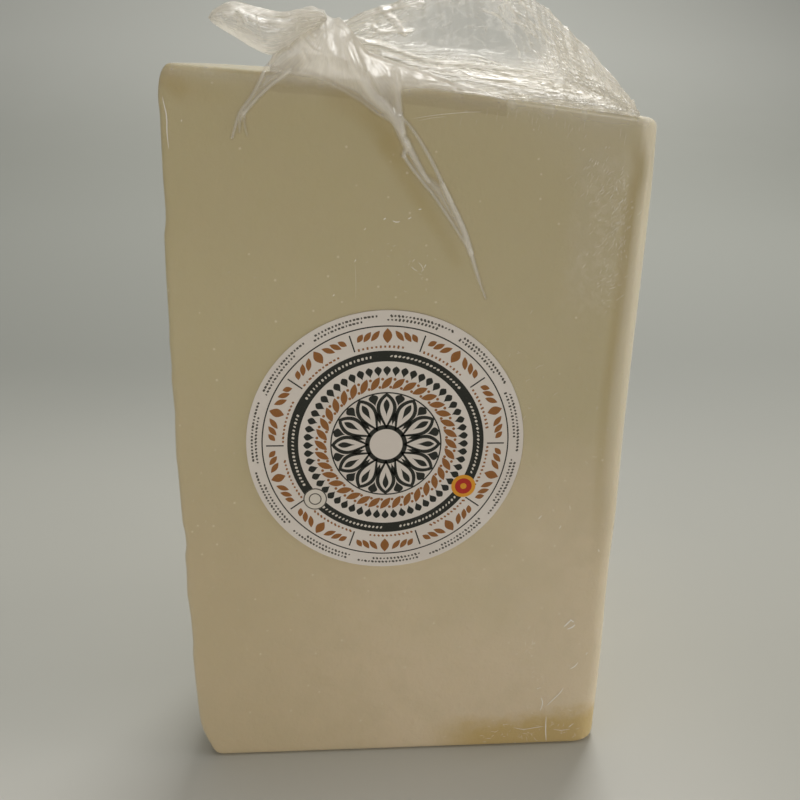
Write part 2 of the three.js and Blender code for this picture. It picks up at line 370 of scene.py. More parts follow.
class Graph(Nodes):
    """The node tree of one material."""

    def __init__(self, name: str) -> None:
        """Starts an empty material.

        Args:
            name: the material's name.
        """
        self.material = bpy.data.materials.new(name)
        self.material.use_nodes = True
        super().__init__(self.material.node_tree)
        self.tree.nodes.clear()

    def place(self) -> Sock:
        """The point on the surface, in object coordinates."""
        return self.node("ShaderNodeTexCoord", {}, {}, "Object")

    def axes(self) -> tuple[Sock, Sock, Sock]:
        """The object coordinates as three numbers, in metres."""
        split = self.node("ShaderNodeSeparateXYZ", {}, {0: self.place()})
        return tuple(Sock(self, output) for output in split.socket.node.outputs)

    def attribute(self, name: str) -> Sock:
        """A number stored on the mesh's points."""
        return self.node("ShaderNodeAttribute", {"attribute_name": name}, {}, "Fac")

    def dots(self, per_metre: float, size: float) -> Sock:
        """Small round dots.

        Args:
            per_metre: how many to the metre.
            size: their radius as a share of their spacing.

        Returns:
            1 inside a dot.
        """
        cells = {"Vector": self.place(), "Scale": per_metre}
        return self.node("ShaderNodeTexVoronoi", {}, cells, "Distance").step(size, size * 0.6)

    def noise(
        self, per_metre: float, detail: float = 3.0, rough: float = 0.5, at: Sock | None = None
    ) -> Sock:
        """Noise from 0 to 1 over the surface.

        Args:
            per_metre: how many features to the metre.
            detail: how many finer layers.
            rough: how strong those are.
            at: other coordinates than the object's own.

        Returns:
            The noise.
        """
        inputs = {"Vector": at or self.place(), "Scale": per_metre, "Detail": detail, "Roughness": rough}
        return self.node("ShaderNodeTexNoise", {}, inputs)

    def flow(self, across: Sock, along: Sock, per_across: float, per_along: float, detail: float) -> Sock:
        """Noise that is drawn out along a direction given by the mesh.

        Args:
            across: place across the direction.
            along: place along it.
            per_across: features to the unit across.
            per_along: features to the unit along.
            detail: how many finer layers.

        Returns:
            The noise, from 0 to 1.
        """
        where = self.node("ShaderNodeCombineXYZ", {}, {0: across * per_across, 1: along * per_along})
        return self.noise(1.0, detail, 0.55, where)

    def blend(self, factor: Sock | float, low: Sock | Colour, high: Sock | Colour) -> Sock:
        """A colour between low, where the factor is 0, and high, where it is 1."""
        inputs = {0: factor, MIX_LOW: low, MIX_HIGH: high}
        return self.node("ShaderNodeMix", {"data_type": "RGBA"}, inputs, MIX_RESULT)

    def bump(self, height: Sock, distance: float, strength: float = 1.0) -> Sock:
        """A normal from a height from 0 to 1, which is worth a distance in metres."""
        return self.node("ShaderNodeBump", {}, {"Height": height, "Distance": distance, "Strength": strength})

    def mixed(self, factor: Sock, first: Sock, second: Sock) -> Sock:
        """A Mix Shader of two shaders."""
        return self.node("ShaderNodeMixShader", {}, {0: factor, 1: first, 2: second})

    def close(self, shader: Sock) -> bpy.types.Material:
        """Ends the graph in its output.

        Args:
            shader: what the surface shows.

        Returns:
            The material.
        """
        end = self.tree.nodes.new("ShaderNodeOutputMaterial")
        self.tree.links.new(shader.socket, end.inputs["Surface"])
        return self.material

    def solid(self, colour: Sock, roughness: Sock | float, more: dict | None = None) -> bpy.types.Material:
        """Ends the graph in an opaque surface, with more inputs by name where it has them."""
        inputs = {"Base Color": colour, "Roughness": roughness, **(more or {})}
        return self.close(self.node("ShaderNodeBsdfPrincipled", {}, inputs))


def srgb(red: int, green: int, blue: int) -> Colour:
    """A display colour, from 0 to 255 each, as linear light with alpha 1."""
    shares = [value / 255.0 for value in (red, green, blue)]
    return tuple(s / 12.92 if s <= 0.04045 else ((s + 0.055) / 1.055) ** 2.4 for s in shares) + (1.0,)


# ---- Where things lie ----

LABEL_GAP = 0.3  # between the front face and the label's back


@dataclass(frozen=True)
class Place:
    """Turns the piece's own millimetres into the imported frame's metres."""

    shift_x: float
    front_y: float

    @classmethod
    def from_frame(cls, label_x: float) -> "Place":
        """Reads the label's packed box.

        Args:
            label_x: the label's centre in the piece's own frame.

        Returns:
            The placing.
        """
        low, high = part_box("label")
        return cls((low.x + high.x) / 2 / MM - label_x, high.y / MM + LABEL_GAP)

    def metres(self, points: np.ndarray) -> np.ndarray:
        """Places points given as x, depth and z along the last axis."""
        return (np.asarray(points, float) + [self.shift_x, self.front_y, 0.0]) * MM


# ---- Finishes ----


@dataclass(frozen=True)
class PasteFinish:
    """Cut cheese, ivory and close-grained, with a straw-coloured heel and an oily corner, and painted light
    and shade on its front.
    """

    high: Colour = srgb(202, 191, 151)
    low: Colour = srgb(229, 213, 184)
    shaded_low_left: Colour = srgb(213, 197, 163)
    dull: Colour = srgb(204, 191, 156)
    rind: Colour = srgb(200, 184, 138)
    oily: Colour = srgb(205, 178, 107)
    damp: Colour = srgb(188, 170, 116)
    # Pale colour for the paste's flecks, and for the painted light and sheen by the axis edge.
    pale_and_lit: Colour = srgb(240, 232, 212)
    roughness: float = 0.55
    stain_height: float = 15.5
    stain_rise: float = 4.0

    def material(self, place: Place) -> bpy.types.Material:
        """Builds the material.

        Args:
            place: where the piece lies, for the stained corner.

        Returns:
            The material.
        """
        g = Graph("cheese_paste")
        x, y, z = g.axes()
        across, back, up = x / MM - place.shift_x, y / MM - place.front_y, z / MM
        cloud = g.noise(14.0, 5.0, 0.6)
        mottle = g.noise(85.0, 4.0, 0.65)
        fine = g.noise(420.0, 3.0, 0.6)
        # Painted shade: the lower front is darker to the left, away from the lamps on the right.
        low = g.blend((across + (cloud - 0.5) * 60.0).step(-75.0, 25.0), self.shaded_low_left, self.low)
        edge = self.stain_height + across.step(45.0, 78.0) * self.stain_rise + (mottle - 0.5) * 16.0
        stain = (edge - up).step(-3.0, 9.0) * across.step(6.0, 36.0) * back.step(75.0, 15.0)
        colour = g.blend((up + (cloud - 0.5) * 220.0).step(30.0, 195.0), low, self.high)
        for share, over in (
            ((mottle * 0.6 + cloud * 0.4).step(0.56, 0.4) * 0.24, self.dull),
            (g.attribute("rind") * (0.35 + mottle * 0.6), self.rind),
            # Painted shade in the groove by the axis edge, and beside the film's folds.
            (g.attribute("groove") * 0.62, self.damp),
            (g.attribute("damp") * (0.5 + mottle * 0.6), self.damp),
            # Painted light on the rounded strip along the axis edge, as if lit from the right.
            (g.attribute("edge_light") * 0.62, self.pale_and_lit),
            (stain * 0.95, self.oily),
            # Painted sheen: pale mottling that stands for the tight film's crinkles.
            (g.attribute("patch") * fine.step(0.42, 0.66) * 0.2, self.pale_and_lit),
            (g.noise(650.0, 2.0, 0.7).step(0.66, 0.76) * 0.22, self.oily),
            (g.dots(150.0, 0.085) * 0.5, self.pale_and_lit),
        ):
            colour = g.blend(share, colour, over)
        deeper = {"Subsurface Weight": 0.12, "Subsurface Radius": (0.006, 0.004, 0.002)}
        grain = {"Normal": g.bump(fine * 0.35 + mottle * 0.65, 0.0007)}
        return g.solid(colour, self.roughness, {**grain, **deeper})


@dataclass(frozen=True)
class FilmFinish:
    """Clear packing film: see-through, hazy where it is folded, bright where it mirrors the light."""

    name: str
    haze: float
    gloss: float
    roughness: float
    glance: float
    bloom: float
    tint: Colour = srgb(250, 248, 242)
    clear: Colour = (0.985, 0.985, 0.98, 1.0)
    bend: float = 2.5

    def marks(self, g: Graph) -> tuple[Sock, Sock, Sock]:
        """The film's fine marks, which each kind of film has of its own.

        Args:
            g: the material's graph.

        Returns:
            How white they are, their height, and how much of the film's shine there is.
        """
        raise NotImplementedError

    def material(self) -> bpy.types.Material:
        """Builds the material.

        Returns:
            The material.
        """
        g = Graph(self.name)
        white, height, share = self.marks(g)
        normal = {"Normal": g.bump(height, 0.0003, 0.6)}
        facing = g.node("ShaderNodeLayerWeight", {}, {"Blend": 0.35, **normal}, "Facing")
        front = g.node("ShaderNodeBsdfDiffuse", {}, {"Color": self.tint, **normal})
        lit_through = g.node("ShaderNodeBsdfTranslucent", {}, {"Color": self.tint, **normal})
        clear = g.node("ShaderNodeBsdfTransparent", {}, {"Color": self.clear})
        shiny = {"Color": (1, 1, 1, 1), "Roughness": self.roughness, **normal}
        mirror = g.node("ShaderNodeBsdfGlossy", {}, shiny)
        body = g.mixed(g.attribute("air") * 0.8, front, lit_through)
        haze = (g.attribute("milk") + self.haze + facing**self.bend * self.bloom * share + white).least(0.95)
        shine = (facing**self.bend * self.glance + self.gloss).least(0.95) * share
        return g.close(g.mixed(shine, g.mixed(haze, clear, body), mirror))


@dataclass(frozen=True)
class TightFilmFinish(FilmFinish):
    """Film drawn tight, with short broken wrinkles where the mesh says so."""

    lean: float = 0.6
    drawn: float = 0.42

    def marks(self, g: Graph) -> tuple[Sock, Sock, Sock]:
        """The wrinkles.

        Args:
            g: the material's graph.

        Returns:
            How white they are, their height, and how much of the film's shine there is.
        """
        turned = {"Vector": g.place(), "Scale": (1.0, 1.0, self.drawn), "Rotation": (0.0, self.lean, 0.0)}
        strokes = g.noise(260.0, 2.0, 0.55, g.node("ShaderNodeMapping", {}, turned))
        crease = (1.0 - abs(strokes - 0.5) * 2.0) ** 30.0
        broken = crease * g.attribute("wrinkle")
        return broken * 0.8, g.noise(260.0, 2.0, 0.5) * 0.4 + broken * 0.3, 1.0 - g.attribute("dull")


@dataclass(frozen=True)
class LooseFilmFinish(FilmFinish):
    """Loose film, with fine threads along its folds.

    The mesh gives each point its place across and along the folds in millimetres, and its threads' strength.
    """

    def marks(self, g: Graph) -> tuple[Sock, Sock, Sock]:
        """The threads.

        Args:
            g: the material's graph.

        Returns:
            How white they are, their height, and how much of the film's shine there is.
        """
        across, along = g.attribute("across"), g.attribute("along")
        wander = (g.noise(45.0, 2.0, 0.5) - 0.5) * 7.0
        fine = g.flow(across + wander, along, 0.85, 0.075, 3.0)
        coarse = g.flow(across + wander, along, 0.3, 0.03, 2.0)
        thread = (1.0 - abs(fine - 0.5) * 2.0) ** 12.0
        ridge = (1.0 - abs(coarse - 0.5) * 2.0) ** 8.0
        patchy = g.noise(110.0, 3.0, 0.55).step(0.38, 0.68)
        strength = g.attribute("fibre")
        white = strength * (thread * (0.15 + patchy * 0.75) + ridge * 0.3 + patchy * 0.12)
        height = strength * (thread * 0.9 + ridge * 1.0) + g.noise(400.0, 2.0, 0.6) * 0.4
        return white, height, (g.attribute("milk") * 8.0).least(1.0)


TIGHT_FILM = TightFilmFinish("film_tight", haze=0.025, gloss=0.045, roughness=0.2, glance=0.14, bloom=0.16)
LOOSE_FILM = LooseFilmFinish(
    "film_loose", haze=0.0, gloss=0.085, roughness=0.24, glance=0.16, bloom=0.3, clear=(0.95, 0.94, 0.935, 1)
)


@dataclass(frozen=True)
class PaperFinish:
    """Coated white label paper, laid over the cheese's slight waves."""

    white: Colour = srgb(232, 227, 222)
    cream: Colour = srgb(226, 220, 214)
    roughness: float = 0.42

    def material(self) -> bpy.types.Material:
        """Builds the material.

        Returns:
            The material.
        """
        g = Graph("label_paper")
        height = g.noise(900.0, 3.0, 0.6) * 0.1 + g.noise(38.0, 2.0, 0.5) * 1.6
        tone = g.blend(g.noise(30.0).step(0.3, 0.7), self.white, self.cream)
        return g.solid(tone, self.roughness, {"Normal": g.bump(height, 0.0003)})


@dataclass(frozen=True)
class InkFinish:
    """A printing ink, a little uneven."""

    name: str
    full: Colour
    thin: Colour

    def material(self) -> bpy.types.Material:
        """Builds the material.

        Returns:
            The material.
        """
        g = Graph(self.name)
        speck = g.noise(1500.0, 2.0, 0.7).step(0.55, 0.8)
        return g.solid(g.blend(speck * 0.5, self.full, self.thin), 0.4 + speck * 0.1)


@dataclass(frozen=True)
class FloorFinish:
    """A plain pale studio floor with painted light and shade: lighter in front, where the piece's shadow
    falls, a little deeper to the right and behind, where the lamps fall strongest, and a little deeper where
    it sweeps up.
    """

    near: Colour = srgb(204, 204, 198)
    tone: Colour = srgb(186, 187, 180)
    right: Colour = srgb(172, 173, 166)
    far: Colour = srgb(147, 149, 143)
    wall: Colour = srgb(165, 167, 162)
    roughness: float = 0.6

    def material(self) -> bpy.types.Material:
        """Builds the material.

        Returns:
            The material.
        """
        g = Graph("studio_floor")
        across, distance, height = g.axes()
        cloud = g.noise(6.0, 4.0, 0.5) * 0.04
        # Painted light: lighter in front, where the piece's shadow falls.
        colour = g.blend((distance + cloud).step(-0.13, 0.0), self.near, self.tone)
        # Painted shade: deeper to the right, where the side lamp falls.
        colour = g.blend((across + cloud).step(0.03, 0.25), colour, self.right)
        # Painted shade: deeper behind, where the window lamp falls.
        colour = g.blend((distance + cloud).step(0.08, 0.5), colour, self.far)
        colour = g.blend((height + cloud).step(0.03, 0.28), colour, self.wall)
        return g.solid(colour, self.roughness)


# ---- The cheese and its tight film ----


@dataclass(frozen=True)
class Rim:
    """An elliptical corner: how far it draws the side in, and over what height."""

    depth: float
    height: float

    def inset(self, distance: float) -> float:
        """How far the side is drawn in at a distance from the face that ends it."""
        t = np.clip(1.0 - distance / self.height, 0.0, 1.0)
        return self.depth * (1.0 - np.sqrt(1.0 - t * t))


@dataclass(frozen=True)
class Steps:
    """How many points each stretch of the plan outline has, how far apart levels are, and the caps' rings."""

    front: int
    edge: int
    side: int
    heel: int
    level: float
    caps: int


HEEL_WAVE = (
    (8, 1.1), (14, 0.6), (26, 0.25), (38, 0), (49, -0.1), (55, 0.45), (66, 0.35), (72, 0), (77, -0.35),
    (87, 0.15), (93, 0), (98, 0.8), (103, 0.7), (108, 0), (128, -0.3), (135, -0.65), (147, -0.35),
    (152, -0.1), (165, -0.6), (170, -0.3), (179, -0.6), (185, -0.35), (204, -0.6), (217, -0.55), (221, 0.15),
    (225, 0.3), (237, -0.1), (257, -0.2), (261, -0.6), (265, -0.45),
)

EDGE_LINE = (
    (60, 78.4), (92, 78.1), (125, 76.5), (158, 76.1), (188, 76.7), (211, 76.9), (225, 77.1), (231, 77.6),
    (240, 78.8), (244, 78.5), (252, 76.6), (257, 76.4),
)


@dataclass(frozen=True)
class Quarter:
    """The quarter wheel: cut front, axis edge on the right, cut side behind it and the curved heel."""

    radius: float = 165.0
    heel_height: float = 272.5
    axis_height: float = 256.5
    crown: float = 1.6
    back_fall: float = 4.0
    bulge: float = 1.9
    foot_rim: Rim = Rim(9.0, 20.0)
    top_rim: Rim = Rim(4.0, 10.0)
    cut_rim: Rim = Rim(2.2, 3.0)
    axis_edge: float = 9.0
    heel_edge: float = 2.4
    groove_x: float = 74.4
    rim_levels: int = 9
    cut_levels: int = 7

    @property
    def axis_x(self) -> float:
        """The axis edge's x."""
        return self.radius / 2

    def edge_line(self, z: np.ndarray) -> np.ndarray:
        """Where the strip of painted light along the axis edge starts, at each height."""
        return np.interp(z, *np.array(EDGE_LINE, float).T)

    def top(self, x: np.ndarray, depth: np.ndarray | float) -> np.ndarray:
        """Height of the top.

        Args:
            x: places across.
            depth: places back from the front.

        Returns:
            The height over each place.
        """
        across = (x - self.axis_x + self.radius) / self.radius
        crown = self.crown * np.sin(np.pi * np.clip(across, 0.0, 1.0))
        straight = self.heel_height + (self.axis_height - self.heel_height) * across
        return straight + crown - self.back_fall * depth / self.radius

    def outline(self, radius: float, inset: float, steps: Steps) -> np.ndarray:
        """The plan outline, anticlockwise from above, starting at the front's heel end.

        Args:
            radius: of the heel, from the axis.
            inset: how far the cut faces are drawn in.
            steps: how many points each stretch has.

        Returns:
            x and depth, one row for each point.
        """
        corner = np.array([self.axis_x - inset, inset])
        r, a, e = radius - inset, self.axis_edge, self.heel_edge
        run = math.sqrt((r - e) ** 2 - e**2)
        lean = math.atan2(e, run)
        square = math.pi / 2

        def line(start: Pair, end: Pair, count: int) -> np.ndarray:
            """Evenly spaced points, without the last."""
            t = np.arange(count)[:, None] / count
            return np.array(start) * (1 - t) + np.array(end) * t

        def arc(centre: Pair, size: float, start: float, end: float, count: int) -> np.ndarray:
            """Points on an arc, without the last."""
            turn = start + (end - start) * np.arange(count) / count
            return np.array(centre) + size * np.stack([np.cos(turn), np.sin(turn)], axis=1)

        parts = [
            line((-run, 0.0), (-a, 0.0), steps.front),
            arc((-a, a), a, -square, 0.0, steps.edge),
            line((0.0, a), (0.0, run), steps.side),
            arc((-e, run), e, 0.0, square + lean, steps.edge),
            arc((0.0, 0.0), r, square + lean, math.pi - lean, steps.heel),
            arc((-run, e), e, math.pi - lean, 1.5 * math.pi, steps.edge),
        ]
        return corner + np.concatenate(parts)

    def levels(self, step: float) -> np.ndarray:
        """Levels from the foot to the top, with close ones in the rims.

        Args:
            step: how far apart they are between the rims.

        Returns:
            The levels, as shares of the height.
        """
        curve = 1.0 - np.cos(np.linspace(0.0, math.pi / 2, self.rim_levels))
        soft = curve[: self.cut_levels] * self.cut_rim.height
        foot, top = curve * self.foot_rim.height, self.heel_height - curve * self.top_rim.height
        body = np.arange(self.foot_rim.height, self.heel_height - self.top_rim.height, step)
        every = np.concatenate([foot, soft, body, top, self.heel_height - soft])
        return np.unique(np.round(every, 3)) / self.heel_height

    def rings(self, steps: Steps, grow: float) -> np.ndarray:
        """Rings round the wheel, one for each level.

        Args:
            steps: how many points each stretch has, and how far apart the levels are.
            grow: how far the surface stands off the cheese, but not under the foot.

        Returns:
            An array of level, point and x, depth, z.
        """
        made = []
        for share in self.levels(steps.level):
            z = share * self.heel_height
            from_top = self.heel_height - z
            radius = self.radius + self.bulge * math.sin(math.pi * share)
            radius -= self.foot_rim.inset(z) + self.top_rim.inset(from_top)
            inset = self.cut_rim.inset(z) + self.cut_rim.inset(from_top)
            plan = self.outline(radius, inset - grow, steps)
            height = share * (self.top(plan[:, 0], plan[:, 1]) + grow)
            made.append(np.column_stack([plan, height]))
        return np.array(made)

    def shell(self, steps: Steps, grow: float = 0.0) -> tuple[np.ndarray, Faces]:
        """The closed surface of the smooth block, with a foot and a top.

        Args:
            steps: how finely it is divided.
            grow: how far the surface stands off the cheese.

        Returns:
            The points, and their faces.
        """
        rings = self.rings(steps, grow)
        count = rings.shape[1]

        def cap(ring: np.ndarray, is_top: bool) -> np.ndarray:
            """Rings that shrink towards the middle of an end.

            Args:
                ring: the outermost ring.
                is_top: whether the end is the top.

            Returns:
                The rings, from the outside in.
            """
            centre = ring.mean(axis=0)
            shares = np.linspace(1.0, 0.0, steps.caps + 1)[1:-1][:, None, None]
            inner = centre + (ring - centre) * shares
            inner[..., 2] = self.top(inner[..., 0], inner[..., 1]) + grow if is_top else 0.0
            return inner

        rows = np.concatenate([cap(rings[0], False)[::-1], rings, cap(rings[-1], True)])
        points = rows.reshape(-1, 3)
        ends = []
        for row, flip in ((0, True), (len(rows) - 1, False)):
            points = np.vstack([points, rows[row].mean(axis=0)])
            a = row * count + np.arange(count)
            b = row * count + (np.arange(count) + 1) % count
            middle = np.full(count, len(points) - 1)
            ends.append(np.stack([b, a, middle] if flip else [a, b, middle], axis=1))
        return points, [grid_faces(len(rows), count, True), np.concatenate(ends)]

    def heel_dents(self, points: np.ndarray, away: np.ndarray) -> np.ndarray:
        """How far the heel stands out: pits all over, and the photograph's waves at its front end.

        Args:
            points: x, depth and z on the smooth block, one row for each.
            away: how far each is from the axis.

        Returns:
            Millimetres outwards, for each point.
        """
        depth, z = points[:, 1], points[:, 2]
        on_heel = smooth(self.radius - 14.0, self.radius - 4.0, away) * smooth(0.0, 6.0, z)
        by_front = smooth(34.0, 4.0, depth)
        dents = 0.5 * layers(points / 31.0, 3, 3) - 0.35 * creases(points / 9.0, 11, 2) ** 3
        dents = dents * (1.0 - by_front) - by_front * np.interp(z, *np.array(HEEL_WAVE, float).T)
        return on_heel * dents

    def front_relief(self, points: np.ndarray, wave: np.ndarray) -> np.ndarray:
        """How far the front lies back: the lip and the groove by the axis edge, and the wire's waves.

        Args:
            points: x, depth and z on the smooth block, one row for each.
            wave: a slow noise up the edge.

        Returns:
            Millimetres backwards, for each point.
        """
        x, depth, z = points.T.copy()
        high = smooth(150.0, 225.0, z)
        beyond = x - self.edge_line(z)
        lip = bell(beyond - 1.8 + 1.2 * high, 3.0 - 0.9 * high) * (0.75 + 0.35 * wave)
        lip -= 0.45 * high * bell(beyond - 2.1, 0.9)
        groove = bell(x - self.groove_x - 0.8 * wave, 2.9) * (0.25 + 0.65 * smooth(90.0, 200.0, z))
        cut = 0.22 * layers(stack(x / 42.0, z / 60.0), 19, 3) * smooth(4.0, 0.5, depth)
        return smooth(16.0, 5.0, depth) * (groove - lip) + cut

    def relief(self, points: np.ndarray) -> np.ndarray:
        """The unevenness of the block, which its tight film follows.

        Args:
            points: x, depth and z on the smooth block, one row for each.

        Returns:
            The same points, moved.
        """
        x, _, z = points.T.copy()
        centre = points[:, :2] - [self.axis_x, 0.0]
        away = np.maximum(np.linalg.norm(centre, axis=1), 1.0)
        wave = noise(stack(z / 38.0, 0.0), 15)
        tall = smooth(5.0, 30.0, z) * smooth(self.axis_height, self.axis_height - 14.0, z)
        moved = points.copy()
        moved[:, :2] += centre / away[:, None] * self.heel_dents(points, away)[:, None]
        moved[:, 0] += smooth(62.0, 80.0, x) * (1.3 + 1.1 * smooth(140.0, 240.0, z) + 0.35 * wave)
        moved[:, 1] += tall * self.front_relief(points, wave)
        return moved


@dataclass
class Cheese:
    """The block of cheese, with the wire's slight waves on the cuts and a softly pitted heel."""

    quarter: Quarter
    steps: Steps = Steps(front=130, edge=9, side=60, heel=110, level=2.0, caps=24)

    def rind(self, points: np.ndarray) -> np.ndarray:
        """How straw-coloured the heel and the top's rim are.

        Args:
            points: x, depth and z on the smooth block, one row for each.

        Returns:
            The strength of the colour, for each point.
        """
        q = self.quarter
        from_axis = np.hypot(points[:, 0] - q.axis_x, points[:, 1])
        heel = smooth(q.radius - 4.5, q.radius - 0.5, from_axis)
        rim = smooth(-3.5, -0.5, points[:, 2] - q.top(points[:, 0], points[:, 1]))
        return np.maximum(0.8 * heel * smooth(0.5, 6.0, points[:, 1]), 0.2 * rim)

    def edge_bands(self, points: np.ndarray) -> dict[str, np.ndarray]:
        """The strip of painted light along the axis edge, and to its left the groove's painted shade and a
        pale patch of painted sheen.

        Args:
            points: x, depth and z on the smooth block, one row for each.

        Returns:
            The strength of each, by its attribute's name.
        """
        x, depth, z = points.T
        beyond = x - self.quarter.edge_line(z)
        softness = 2.4 - 1.1 * smooth(160.0, 230.0, z)
        # Painted light along the rounded axis edge, with a darker line near its top.
        edge_light = smooth(-1.0, 1.0, (beyond + 0.9) / softness) * (0.3 + 0.7 * smooth(80.0, 180.0, z))
        edge_light *= 1.0 - 0.35 * smooth(215.0, 235.0, z) * bell(beyond - 2.0, 0.6)
        groove = smooth(-6.2, -4.2, beyond) * smooth(-0.6, -2.2, beyond) * smooth(60.0, 190.0, z)
        # Painted sheen of the tight film's crinkles, on a patch left of the groove.
        patch = smooth(50.0, 64.0, x - 0.05 * (z - 215.0)) * smooth(74.5, 71.0, x) * smooth(176.0, 205.0, z)
        on_front = smooth(8.0, 2.0, depth)
        return {
            "edge_light": edge_light * smooth(80.0, 6.0, depth),
            "groove": groove * smooth(256.0, 242.0, z) * on_front,
            "patch": patch * smooth(252.0, 236.0, z) * on_front,
        }

    def build(self, place: Place) -> None:
        """Builds and dresses the block.

        Args:
            place: where it lies.
        """
        points, faces = self.quarter.shell(self.steps)
        made = mesh_object("cheese_block", place.metres(self.quarter.relief(points)), faces)
        # Painted shade beside the film's folds, kept to the front.
        _, damp = pressed(SHADE_STROKES, points[:, 0], points[:, 2])
        paint(made, rind=self.rind(points), damp=damp * smooth(10.0, 2.0, points[:, 1]))
        paint(made, **self.edge_bands(points))
        finish_piece(made, PasteFinish().material(place), "cheese", "cheese")


PER_KNOT = 24  # points of a fold's line for each of its knots
FOLD_MARGIN = 2.5  # how many half widths away a fold is still looked at
FOLD_SPREAD = 1.5  # how many half widths away it has faded out
FOLD_LIFT = 0.75  # how much of its lift a fold has
FOLD_SHARPNESS = 1.6


@dataclass(frozen=True)
class Stroke:
    """A fold seen as a line: where it runs, its half width, its lift and its milkiness from start to end."""

    line: Line
    half: Pair
    lift: Pair
    milk: Pair

    def strokes(self) -> tuple["Stroke", ...]:
        """Itself alone."""
        return (self,)

    def over(self, x: np.ndarray, z: np.ndarray) -> tuple[np.ndarray, np.ndarray]:
        """What the fold does at points of the front.

        Args:
            x: places across.
            z: places up.

        Returns:
            The lift in millimetres, and the milkiness from 0 to 1.
        """
        lift, milk = np.zeros(len(x)), np.zeros(len(x))
        line = through(np.array(self.line, float), np.linspace(0.0, 1.0, PER_KNOT * len(self.line)))
        margin = FOLD_MARGIN * max(self.half)
        low, high = line.min(axis=0) - margin, line.max(axis=0) + margin
        near = np.flatnonzero((x > low[0]) & (x < high[0]) & (z > low[1]) & (z < high[1]))
        if len(near):
            away = (x[near, None] - line[:, 0]) ** 2 + (z[near, None] - line[:, 1]) ** 2
            closest = np.argmin(away, axis=1)
            share = closest / (len(line) - 1)
            distance = np.sqrt(away[np.arange(len(near)), closest])
            half = FOLD_SPREAD * between(self.half, share)
            ridge = np.clip(1.0 - (distance / half) ** 2, 0.0, 1.0) ** FOLD_SHARPNESS
            lift[near] = FOLD_LIFT * between(self.lift, share) * ridge
            milk[near] = between(self.milk, share) * ridge
        return lift, milk


@dataclass(frozen=True)
class Crinkles:
    """A field of short strokes, scattered along a line."""

    line: Line
    width: float
    count: int
    seed: int
    lean: float
    spread: float
    length: Pair
    half: float = 0.1
    lift: float = 0.08
    milk: Pair = (0.2, 0.6)

    def strokes(self) -> tuple[Stroke, ...]:
        """Lays out the strokes.

        Returns:
            One stroke for each crinkle, bent a little in the middle.
        """
        rng = np.random.default_rng(self.seed)
        run = np.array(self.line, float)
        half, lift = (self.half, 0.7 * self.half), (self.lift, self.lift)
        made = []
        for _ in range(self.count):
            middle = through(run, np.array([rng.uniform()]))[0] + rng.normal(0.0, self.width / 2, 2)
            turn = math.radians(self.lean + rng.normal(0.0, self.spread))
            way = np.array([math.cos(turn), math.sin(turn)])
            size = rng.uniform(*self.length)
            bow = np.array([-way[1], way[0]]) * rng.normal(0.0, 0.06) * size
            milk = rng.uniform(*self.milk)
            knots = tuple(map(tuple, (middle - way * size / 2, middle + bow, middle + way * size / 2)))
            made.append(Stroke(knots, half, lift, (milk, 0.6 * milk)))
        return tuple(made)


Folds = tuple[Stroke | Crinkles, ...]


@dataclass(frozen=True)
class Veil:
    """A patch of loose film: its outline, how far its middle stands off, its milkiness and its soft edge."""

    outline: Line
    lift: float
    milk: float
    edge: float

    def inside(self, x: np.ndarray, z: np.ndarray) -> np.ndarray:
        """How far each point lies inside the outline.

        Args:
            x: places across.
            z: places up.

        Returns:
            Millimetres from the outline, below 0 outside.
        """
        ring = np.array(self.outline, float)
        closest = np.full(x.shape, np.inf)
        odd = np.zeros(x.shape, bool)
        for (ax, az), (bx, bz) in zip(ring, np.roll(ring, -1, axis=0)):
            run, rise = bx - ax, bz - az
            t = np.clip(((x - ax) * run + (z - az) * rise) / (run * run + rise * rise), 0.0, 1.0)
            closest = np.minimum(closest, np.hypot(x - ax - t * run, z - az - t * rise))
            if rise:
                odd ^= ((az > z) != (bz > z)) & (x < ax + (z - az) / rise * run)
        return np.where(odd, closest, -closest)

    def over(self, x: np.ndarray, z: np.ndarray) -> tuple[np.ndarray, np.ndarray]:
        """The lift in millimetres and the milkiness that the patch gives points of the front."""
        depth = self.inside(x, z)
        return self.lift * smooth(0.0, self.edge, depth), self.milk * smooth(-0.2, min(self.edge, 2.2), depth)


def pressed(folds: Folds, x: np.ndarray, z: np.ndarray) -> tuple[np.ndarray, np.ndarray]:
    """Adds up several folds.

    Args:
        folds: the folds.
        x: places across.
        z: places up, in an array of the same shape.

    Returns:
        The lift in millimetres, and the milkiness from 0 to 1.
    """
    flat_x, flat_z = x.ravel(), z.ravel()
    lift, clear = np.zeros(x.size), np.ones(x.size)
    for fold in folds:
        for stroke in fold.strokes():
            up, pale = stroke.over(flat_x, flat_z)
            lift += up
            clear *= 1.0 - pale
    return lift.reshape(x.shape), 1.0 - clear.reshape(x.shape)


